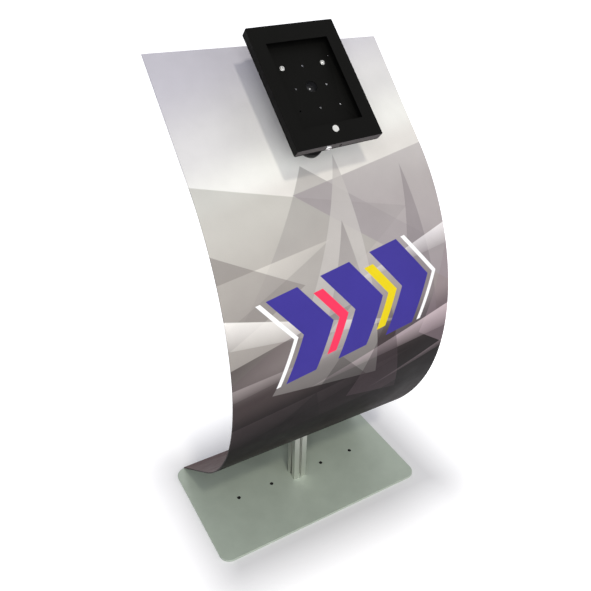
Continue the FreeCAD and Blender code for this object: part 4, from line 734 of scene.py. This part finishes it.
class STAND_OT_sheet(bpy.types.Operator):
    """Bend the printed sheet from its foot to its top"""
    bl_idname = "stand.sheet"
    bl_label = "Printed Sheet"

    def execute(self, context):
        size = sizes()
        piece = self.bend(size)
        # The bent plane is the sheet's front, so the sheet's thickness goes to the rear.
        middle_face = piece.data.polygons[len(piece.data.polygons) // 2]
        rearward = -1 if middle_face.normal.y < 0 else 1
        finish_modifier(piece, "SOLIDIFY", thickness=size.sheet_thickness, offset=rearward)
        reach = size.post_opening / 2
        cutter = box("post_cutter", (-reach, -reach, 0), (reach, reach, POST_CUT), material("sheet_rear"))
        carve(piece, [cutter])
        self.paint(piece, size)
        seat(piece, "stand", ["curved_panel"])
        return {"FINISHED"}

    def bend(self, size):
        """Spin and extrude the sheet's front from its foot."""
        heading = math.pi - size.foot_slope
        start = Vector((0, size.foot_y, size.plate_top))
        ahead = Vector((0, math.cos(heading), math.sin(heading)))
        deselect()
        bpy.ops.mesh.primitive_plane_add(size=1, location=start + ahead * size.foot_straight / 2,
                                         rotation=(heading, 0, 0))
        piece = named("printed_sheet", material("sheet_print"))
        piece.scale = (size.sheet_width, size.foot_straight, 1)
        bpy.ops.object.transform_apply(location=True, rotation=True, scale=True)
        tip = start + ahead * size.foot_straight
        choose(piece, "EDGE", lambda middle, along: (middle - tip).length < CLOSE)
        for radius, turn, steps in SHEET_BENDS:
            turn = math.radians(turn)
            centre = tip + radius * Vector((0, math.sin(heading), -math.cos(heading)))
            bpy.ops.mesh.spin(steps=steps, angle=turn, center=centre, axis=(1, 0, 0))
            heading -= turn
            tip = centre + radius * Vector((0, -math.sin(heading), math.cos(heading)))
        ahead = Vector((0, math.cos(heading), math.sin(heading)))
        bpy.ops.mesh.extrude_region_move(TRANSFORM_OT_translate={"value": ahead * size.head_straight})
        bpy.ops.mesh.select_all(action="SELECT")
        bpy.ops.mesh.remove_doubles(threshold=WELD)
        bpy.ops.mesh.normals_make_consistent(inside=False)
        leave()
        return piece

    def paint(self, piece, size):
        """Print on the outer face and the cut edges; the rear face stays plain."""
        piece.data.materials.append(material("sheet_rear"))
        narrow = NARROW * size.sheet_width * size.sheet_thickness
        for face in piece.data.polygons:
            outer = face.normal.y < -FACING
            face.material_index = 0 if outer or face.area < narrow else 1


class STAND_OT_plate(bpy.types.Operator):
    """Round the base plate's corners and upper edge and drill its holes"""
    bl_idname = "stand.plate"
    bl_label = "Base Plate"

    def execute(self, context):
        size = sizes()
        coat = material("plate_coat")
        low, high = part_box("base_plate")
        piece = box("plate_slab", low, high, coat)
        round_edges(piece, upright, size.plate_corner, segments=16)
        round_edges(piece, level_at(high[2]), size.plate_edge)
        drills = []
        for mount in frame["record"]["mounts"]:
            if mount["kind"] != "bolt_pattern":
                continue
            reach = mount["dims"]["spacing_x_mm"] / 2 * MILLIMETRE
            radius = mount["dims"]["hole_r_mm"] * MILLIMETRE
            for x in (-reach, reach):
                drills.append(drum("plate_drill", radius, low[2] - OVERCUT, high[2] + OVERCUT,
                                   (x, mount["pos_m"][1]), coat, sides=32))
        carve(piece, drills)
        self.paint_drill_shade(piece, low, high, size.plate_corner)
        seat(piece, "stand", ["base_plate"])
        return {"FINISHED"}

    def paint_drill_shade(self, piece, low, high, margin):
        """Paint the drilled walls dark: painted shade inside the holes."""
        piece.data.materials.append(material("gasket_and_drill_shade"))
        for face in piece.data.polygons:
            inside = all(low[axis] + margin < face.center[axis] < high[axis] - margin for axis in (0, 1))
            if inside and abs(face.normal.z) < FACING:
                face.material_index = 1


# The frame's punched edges: their rounding in metres, and the least angle that counts as an edge.
PUNCHED_EDGE = 0.00022
PUNCHED_ANGLE = 50
# A lighter grey coat, a painted sheen, covers the faces whose normal has more than this part towards the case's
# lower side.
SHEEN_FACING = 0.7


class STAND_OT_window_frame(bpy.types.Operator):
    """Fold the case's front frame and punch its window and holes"""
    bl_idname = "stand.window_frame"
    bl_label = "Window Frame"

    def execute(self, context):
        size = case_sizes()
        coat = material("black_coat")
        piece = box("window_frame", (-size.half_width, size.bottom, size.seam),
                    (size.half_width, size.top, size.depth), coat)
        round_edges(piece, upright, size.corner, segments=6)
        round_edges(piece, level_at(size.depth), size.front_edge)
        choose(piece, "FACE", downward)
        bpy.ops.mesh.delete(type="FACE")
        leave()
        finish_modifier(piece, "SOLIDIFY", thickness=size.metal, offset=-1, use_even_offset=True)
        carve(piece, self.cutters(size, coat))
        finish_modifier(piece, "BEVEL", width=PUNCHED_EDGE, segments=2, limit_method="ANGLE",
                        angle_limit=math.radians(PUNCHED_ANGLE))
        self.paint_sheen(piece, size)
        seat(piece, "front_door", ["front_frame"], case_frame())
        return {"FINISHED"}

    def cutters(self, size, coat):
        """The window's block, and the drills for the button, the lock and the lead."""
        inside, outside = size.depth - OVERCUT, size.depth + OVERCUT
        half_width, half_height = size.window_width / 2, size.window_height / 2
        window = box("window_cutter", (-half_width, size.window_y - half_height, inside),
                     (half_width, size.window_y + half_height, outside), coat)
        round_edges(window, upright, size.window_corner, segments=4)
        hole = drum("button_cutter", size.button_hole, inside, outside, (0, size.button_y), coat, sides=64)
        bore = drum("lock_cutter", size.lock_hole, -OVERCUT, OVERCUT, (0, 0), coat, sides=48)
        move(bore, low_side(size.lock_x, size.lock_z))
        lead = drum("lead_cutter", size.lead_hole, -OVERCUT, OVERCUT, (0, 0), coat, sides=32)
        move(lead, low_side(size.lead_x, size.lead_z))
        return [window, hole, bore, lead]

    def paint_sheen(self, piece, size):
        """Paint the side with the lock a lighter satin grey: a painted sheen."""
        piece.data.materials.append(material("sheen_painted_coat"))
        for face in piece.data.polygons:
            if face.normal.y < -SHEEN_FACING and face.center.y < size.bottom + size.metal / 2:
                face.material_index = 1


# Turned pieces behind the window, in the case's own frame: radius, and the two ends along Z, in metres
PAN_HEAD = (0.0046, 0.0023, 0.0049)
PAN_SHANK = (0.002, -0.0083, 0.0023)
CASE_WASHER = (0.0055, 0.0015, 0.0023)
WASHER_HOLE = (0.00215, 0.0, 0.004)
HEX_HEAD = (0.0075, -0.01332, -0.00802)
HEX_BOSS = (0.0019, -0.00832, -0.00762)
HUB_SHANK = (0.004, -0.033, -0.01232)
# The cross in a pan head: low and high corner of one bar, and the bar's turn.
CROSS_LOW = (-0.0024, -0.00045, 0.0032)
CROSS_HIGH = (0.0024, 0.00045, 0.006)
CROSS_TURN = 0.3
# Rounding of the pan head, the washer and the hub bolt's boss, and the flat and edge of its hexagon.
PAN_ROUND = 0.0014
WASHER_ROUND = 0.0001
BOSS_ROUND = 0.0003
HEX_FLAT = 0.0011
HEX_EDGE = 0.0003


class STAND_OT_case_screws(bpy.types.Operator):
    """Turn the pan-head screws, their washers and the hub bolt"""
    bl_idname = "stand.case_screws"
    bl_label = "Case Screws"

    def execute(self, context):
        reach = case_sizes().screw_reach
        zinc = material("bright_zinc")
        places = ((-reach, reach), (reach, reach))
        screws = [self.pan_screw(place, zinc) for place in places]
        washers = [self.washer(place, zinc) for place in places]
        seat(join(screws, "pan_screws"), "case", ["vesa_screws"], case_frame())
        seat(join(washers, "case_washers"), "case", ["vesa_washers"], case_frame())
        seat(self.hub_bolt(zinc), "tilt_head", ["hub_bolt"], case_frame())
        return {"FINISHED"}

    def pan_screw(self, place, zinc):
        """A round head with a cross in it, on its shank."""
        head = drum("pan_head", *PAN_HEAD, place, zinc, sides=40)
        round_edges(head, level_at(PAN_HEAD[2]), PAN_ROUND, segments=5)
        for turn in (CROSS_TURN, CROSS_TURN + math.pi / 2):
            bar = box("cross_cutter", CROSS_LOW, CROSS_HIGH, zinc)
            move(bar, Matrix.Translation((*place, 0)) @ Matrix.Rotation(turn, 4, "Z"))
            carve(head, [bar])
        return join([head, drum("pan_shank", *PAN_SHANK, place, zinc, sides=24)], "pan_screw")

    def washer(self, place, zinc):
        """A flat ring under the head."""
        washer = drum("case_washer", *CASE_WASHER, place, zinc, sides=40)
        carve(washer, [drum("washer_cutter", *WASHER_HOLE, place, zinc, sides=24)])
        round_edges(washer, level_at(CASE_WASHER[2]), WASHER_ROUND, segments=1)
        return washer

    def hub_bolt(self, zinc):
        """A blackened hexagon bolt with a bright boss on its head."""
        black = material("blackened_steel")
        head = drum("hex_head", *HEX_HEAD, (0, 0), black, sides=6)
        choose(head, "FACE", upward)
        bpy.ops.mesh.inset(thickness=HEX_FLAT, depth=0.0)
        bpy.ops.mesh.bevel(offset=HEX_EDGE, segments=2, affect="EDGES")
        leave()
        boss = drum("hex_boss", *HEX_BOSS, (0, 0), zinc, sides=32)
        round_edges(boss, level_at(HEX_BOSS[2]), BOSS_ROUND)
        shank = drum("hub_shank", *HUB_SHANK, (0, 0), black, sides=32)
        return join([head, boss, shank], "hub_hex_bolt")


# The home button: its cap's lower end and how far it stands out of the case, the rings of its dish
# (width, then drop), its rounding, and its flange and stem as radius and two ends along Z, in metres.
CAP_END = 0.017
CAP_PROUD = 0.0004
CAP_DISH = ((0.0009, 0.0), (0.0012, 0.00035), (0.0024, 0.00018))
CAP_ROUND = 0.0003
BUTTON_FLANGE = (0.0095, 0.017, 0.0182)
BUTTON_STEM = (0.003, 0.015, 0.0172)


class STAND_OT_home_button(bpy.types.Operator):
    """Dish the home button's cap over its flange"""
    bl_idname = "stand.home_button"
    bl_label = "Home Button"

    def execute(self, context):
        size = case_sizes()
        skin = material("button_cap_skin")
        place = (0, size.button_y)
        top = size.depth + CAP_PROUD
        cap = drum("button_cap", size.button_radius, CAP_END, top, place, skin, sides=72)
        choose(cap, "FACE", upward)
        for width, drop in CAP_DISH:
            bpy.ops.mesh.inset(thickness=width, depth=-drop)
        leave()
        at_top = level_at(top)
        inner = size.button_radius - CAP_ROUND
        round_edges(cap, lambda middle, along: at_top(middle, along)
                    and (middle.xy - Vector(place)).length > inner, CAP_ROUND)
        flange = drum("button_flange", *BUTTON_FLANGE, place, skin, sides=48)
        stem = drum("button_stem", *BUTTON_STEM, place, skin, sides=32)
        button = join([cap, flange, stem], "home_button_cap")
        seat(button, "button", ["home_button"], case_frame())
        return {"FINISHED"}


# The lock, from the case's lower side outwards: radius, and the two ends along its axis, in metres
LOCK_RING = (0.007, 0.0, 0.003)
LOCK_HOUSING = (0.006, -0.0195, 0.0005)
LOCK_BORE = (0.00408, -0.03, 0.01)
LOCK_PLUG = (0.004, -0.0205, 0.0027)
LOCK_TAIL = (0.002, -0.022, -0.02)
# The keyway's low and high corner, and the rounding of the ring and the plug.
KEYWAY_LOW = (-0.0005, -0.0024, -0.003)
KEYWAY_HIGH = (0.0005, 0.0024, 0.004)
RING_ROUND = 0.0012
PLUG_ROUND = 0.0003


class STAND_OT_lock(bpy.types.Operator):
    """Turn the lock's ring and housing and cut the keyway in its plug"""
    bl_idname = "stand.lock"
    bl_label = "Lock"

    def execute(self, context):
        size = case_sizes()
        chrome = material("lock_chrome_skin")
        outward = case_frame() @ low_side(size.lock_x, size.lock_z)
        ring = drum("lock_ring", *LOCK_RING, (0, 0), chrome, sides=72)
        round_edges(ring, level_at(LOCK_RING[2]), RING_ROUND, segments=5)
        housing = drum("lock_housing", *LOCK_HOUSING, (0, 0), chrome, sides=48)
        shell = join([ring, housing], "lock_shell")
        carve(shell, [drum("lock_bore", *LOCK_BORE, (0, 0), chrome, sides=48)])
        seat(shell, "front_door", ["lock_body"], outward)

        plug = drum("lock_plug_face", *LOCK_PLUG, (0, 0), chrome, sides=48)
        round_edges(plug, level_at(LOCK_PLUG[2]), PLUG_ROUND)
        tail = drum("lock_tail", *LOCK_TAIL, (0, 0), chrome, sides=24)
        carve(plug, [box("key_cutter", KEYWAY_LOW, KEYWAY_HIGH, chrome)])
        seat(join([plug, tail], "lock_plug_turned"), "lock_barrel", ["lock_plug"], outward)
        return {"FINISHED"}


# Rounding of the fittings that keep their own shape, by node, in metres, and the least angle of an edge
EDGE_WIDTHS = {
    "post": 0.0004, "post_cap": 0.0006, "foot_rail": 0.0005, "clamp_strip": 0.0005,
    "head_bracket": 0.0005, "front_plate": 0.0009, "tilt_clevis": 0.0006, "tilt_tongue": 0.0006,
    "tilt_knob": 0.0012, "vesa_plate": 0.0003, "case_tray": 0.0002, "tray_pads": 0.0008,
    "strip_screws": 0.0003, "rail_nuts": 0.0003, "strip_nuts": 0.0003, "head_bolts": 0.0004,
    "clevis_screws": 0.0004, "tilt_bolt": 0.0004, "clamp_nuts": 0.0003, "clamp_screws": 0.0002,
    "vesa_nuts": 0.0002, "frame_hinge_leaf": 0.0002, "tray_hinge_leaf": 0.0002,
    "lock_keeper": 0.0002, "button_clip": 0.0003, "front_gasket": 0.0004, "grip_mat": 0.0002,
}
EDGE_ANGLE = 40


class STAND_OT_soften(bpy.types.Operator):
    """Break the sharp edges of the fittings that keep their own shape"""
    bl_idname = "stand.soften"
    bl_label = "Soften Edges"

    def execute(self, context):
        for node, width in EDGE_WIDTHS.items():
            piece = frame["nodes"][node]
            weld = piece.modifiers.new("Weld", "WELD")
            weld.merge_threshold = WELD
            bevel = piece.modifiers.new("Bevel", "BEVEL")
            bevel.width = width
            bevel.segments = 2
            bevel.limit_method = "ANGLE"
            bevel.angle_limit = math.radians(EDGE_ANGLE)
            bevel.harden_normals = True
        return {"FINISHED"}


# The lamps: place, the point that each faces, its side in metres, its power in watts and its colour
LAMPS = {
    "ceiling_softbox": ((-0.55, -2.7, 4.16), (0, 0, 0.6), 0.3, 46, (1, 0.95, 0.84)),
    "front_fill": ((-1.35, -2.4, 2.0), (0, 0, 0.5), 1.6, 46, (1, 1, 1)),
    "right_fill": ((1.7, -2.3, 1.5), (0, 0, 0.5), 1.8, 16, (1, 1, 1)),
    "rear_fill": ((0.9, 2.6, 2.2), (0, 0, 0.6), 1.6, 12, (1, 1, 1)),
}
SKY_COLOUR = (0.87, 0.88, 1.0)
SKY_STRENGTH = 0.38
WHITE = (1, 1, 1)

# The floor: its side, its paint, and its painted shade under the base plate, up to a little inside its edge
FLOOR_SIDE = 60
FLOOR_PAINT = (0.8, 0.8, 0.8)
FLOOR_SHADE = (0.01, 0.01, 0.01)
SHADE_INSET = 0.02
# The floor glows to white away from the plate. Its dim part near the plate lets the stand's shadow show and is
# also a painted shadow, which leans to the right and forwards, and the glow starts at its least and rises by so
# much for each metre, to its most.
PAINTED_SHADOW_LEAN = (0.035, -0.03)
GLOW_LEAST = 0.02
GLOW_RISE = 3.2
GLOW_MOST = 0.94

# The photo's camera, as found from the stand's corners: metres, and millimetres for lens and sensor
CAMERA_PLACE = (-0.69788, -1.13849, 1.47225)
CAMERA_RIGHT = (0.86599, -0.49957, 0.02202)
CAMERA_UP = (0.24590, 0.46378, 0.85114)
CAMERA_AHEAD = (0.43542, 0.73167, -0.52447)
CAMERA_LENS = 37.595
CAMERA_SENSOR = 36
CAMERA_REACH = 100


class STAND_OT_stage(bpy.types.Operator):
    """Set the pale floor, the soft lights and the camera"""
    bl_idname = "stand.stage"
    bl_label = "Stage"

    def execute(self, context):
        scene = context.scene
        scene.view_settings.view_transform = "Standard"
        self.floor()
        self.world(scene)
        for name, settings in LAMPS.items():
            self.lamp(name, *settings)
        self.camera(scene)
        return {"FINISHED"}

    def floor(self):
        """A pale floor that keeps the stand's shadow, with a painted shadow round the base plate and painted shade
        under it, and glows to white away from the plate.
        """
        deselect()
        bpy.ops.mesh.primitive_plane_add(size=FLOOR_SIDE, location=(0, 0, 0))
        floor = bpy.context.object
        floor.name = "studio_floor"
        shader = Shader("studio_white", FLOOR_PAINT, roughness=0.9)
        shader.set("Specular IOR Level", 0.0)
        shader.set("Emission Color", (*WHITE, 1))
        apart = shader.add("ShaderNodeSeparateXYZ")
        shader.link(shader.place, apart.inputs[0])
        # Painted shadow: the glow is least next to the plate and rises away from it, leaning right and forwards.
        squares = []
        for distance in self.past_plate(shader, apart, PAINTED_SHADOW_LEAN):
            squares.append(shader.math("POWER", shader.math("MAXIMUM", distance, 0.0), 2.0))
        outside = shader.math("SQRT", shader.math("ADD", *squares))
        rise = shader.math("MINIMUM", shader.math("MULTIPLY", outside, GLOW_RISE), GLOW_MOST)
        # Painted shade: under the plate the floor is dark and does not glow.
        furthest = shader.math("MAXIMUM", *self.past_plate(shader, apart, (0, 0)))
        bare = shader.math("GREATER_THAN", furthest, -SHADE_INSET)
        glow = shader.math("MULTIPLY", shader.math("ADD", rise, GLOW_LEAST, clamp=True), bare)
        shader.link(shader.mix(bare, FLOOR_SHADE, FLOOR_PAINT), shader.surface.inputs["Base Color"])
        strength = shader.math("MULTIPLY", shader.seen(), glow)
        shader.link(strength, shader.surface.inputs["Emission Strength"])
        floor.data.materials.append(shader.material)

    def past_plate(self, shader, apart, lean):
        """How far a floor point lies past the plate's sides and past its ends, moved by a lean."""
        low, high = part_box("grip_mat")
        distances = []
        for axis in (0, 1):
            middle = (low[axis] + high[axis]) / 2 + lean[axis]
            offset = shader.math("ABSOLUTE", shader.math("SUBTRACT", apart.outputs[axis], middle))
            distances.append(shader.math("SUBTRACT", offset, (high[axis] - low[axis]) / 2))
        return distances

    def world(self, scene):
        """Dim light from all round, and plain white where the camera or a reflection sees it."""
        sky = bpy.data.worlds.new("studio")
        scene.world = sky
        sky.use_nodes = True
        wiring = Wiring(sky.node_tree)
        dim = sky.node_tree.nodes["Background"]
        dim.inputs["Color"].default_value = (*SKY_COLOUR, 1)
        dim.inputs["Strength"].default_value = SKY_STRENGTH
        white = wiring.add("ShaderNodeBackground")
        white.inputs["Color"].default_value = (*WHITE, 1)
        white.inputs["Strength"].default_value = 1.0
        pick = wiring.add("ShaderNodeMixShader")
        wiring.link(wiring.seen(), pick.inputs["Fac"])
        wiring.link(dim.outputs[0], pick.inputs[1])
        wiring.link(white.outputs[0], pick.inputs[2])
        wiring.link(pick.outputs[0], sky.node_tree.nodes["World Output"].inputs["Surface"])

    def lamp(self, name, place, aim, side, power, colour):
        """A square lamp that faces a point."""
        bpy.ops.object.light_add(type="AREA", location=place)
        lamp = bpy.context.object
        lamp.name = name
        lamp.data.shape = "SQUARE"
        lamp.data.size = side
        lamp.data.energy = power
        lamp.data.color = colour
        away = Vector(place) - Vector(aim)
        lamp.rotation_euler = away.to_track_quat("Z", "Y").to_euler()

    def camera(self, scene):
        """The photo's camera."""
        bpy.ops.object.camera_add()
        camera = bpy.context.object
        camera.name = "photo_camera"
        turn = Matrix((CAMERA_RIGHT, CAMERA_UP, -Vector(CAMERA_AHEAD))).transposed().to_4x4()
        camera.matrix_world = Matrix.Translation(CAMERA_PLACE) @ turn
        camera.data.sensor_width = CAMERA_SENSOR
        camera.data.lens = CAMERA_LENS
        camera.data.clip_end = CAMERA_REACH
        scene.camera = camera


class STAND_PT_panel(bpy.types.Panel):
    """Lists the stand's operators and sizes"""
    bl_label = "Curved Tablet Stand"
    bl_idname = "STAND_PT_panel"
    bl_space_type = "VIEW_3D"
    bl_region_type = "UI"
    bl_category = "Stand"

    def draw(self, context):
        for group in (context.scene.stand_sizes, context.scene.case_sizes, context.scene.stand_colours):
            column = self.layout.column()
            for name in group.bl_rna.properties.keys():
                if name not in ("rna_type", "name"):
                    column.prop(group, name)
        for step in STEPS:
            self.layout.operator(step.bl_idname)


STEPS = (
    STAND_OT_finishes, STAND_OT_sheet, STAND_OT_plate, STAND_OT_window_frame, STAND_OT_case_screws,
    STAND_OT_home_button, STAND_OT_lock, STAND_OT_soften, STAND_OT_stage,
)
CLASSES = (StandSizes, CaseSizes, FinishColours) + STEPS + (STAND_PT_panel,)


def register():
    for item in CLASSES:
        bpy.utils.register_class(item)
    bpy.types.Scene.stand_sizes = PointerProperty(type=StandSizes)
    bpy.types.Scene.case_sizes = PointerProperty(type=CaseSizes)
    bpy.types.Scene.stand_colours = PointerProperty(type=FinishColours)


def unregister():
    del bpy.types.Scene.stand_colours
    del bpy.types.Scene.case_sizes
    del bpy.types.Scene.stand_sizes
    for item in reversed(CLASSES):
        bpy.utils.unregister_class(item)


def main():
    register()
    for step in STEPS:
        family, name = step.bl_idname.split(".")
        getattr(getattr(bpy.ops, family), name)()


if __name__ == "__main__":
    main()
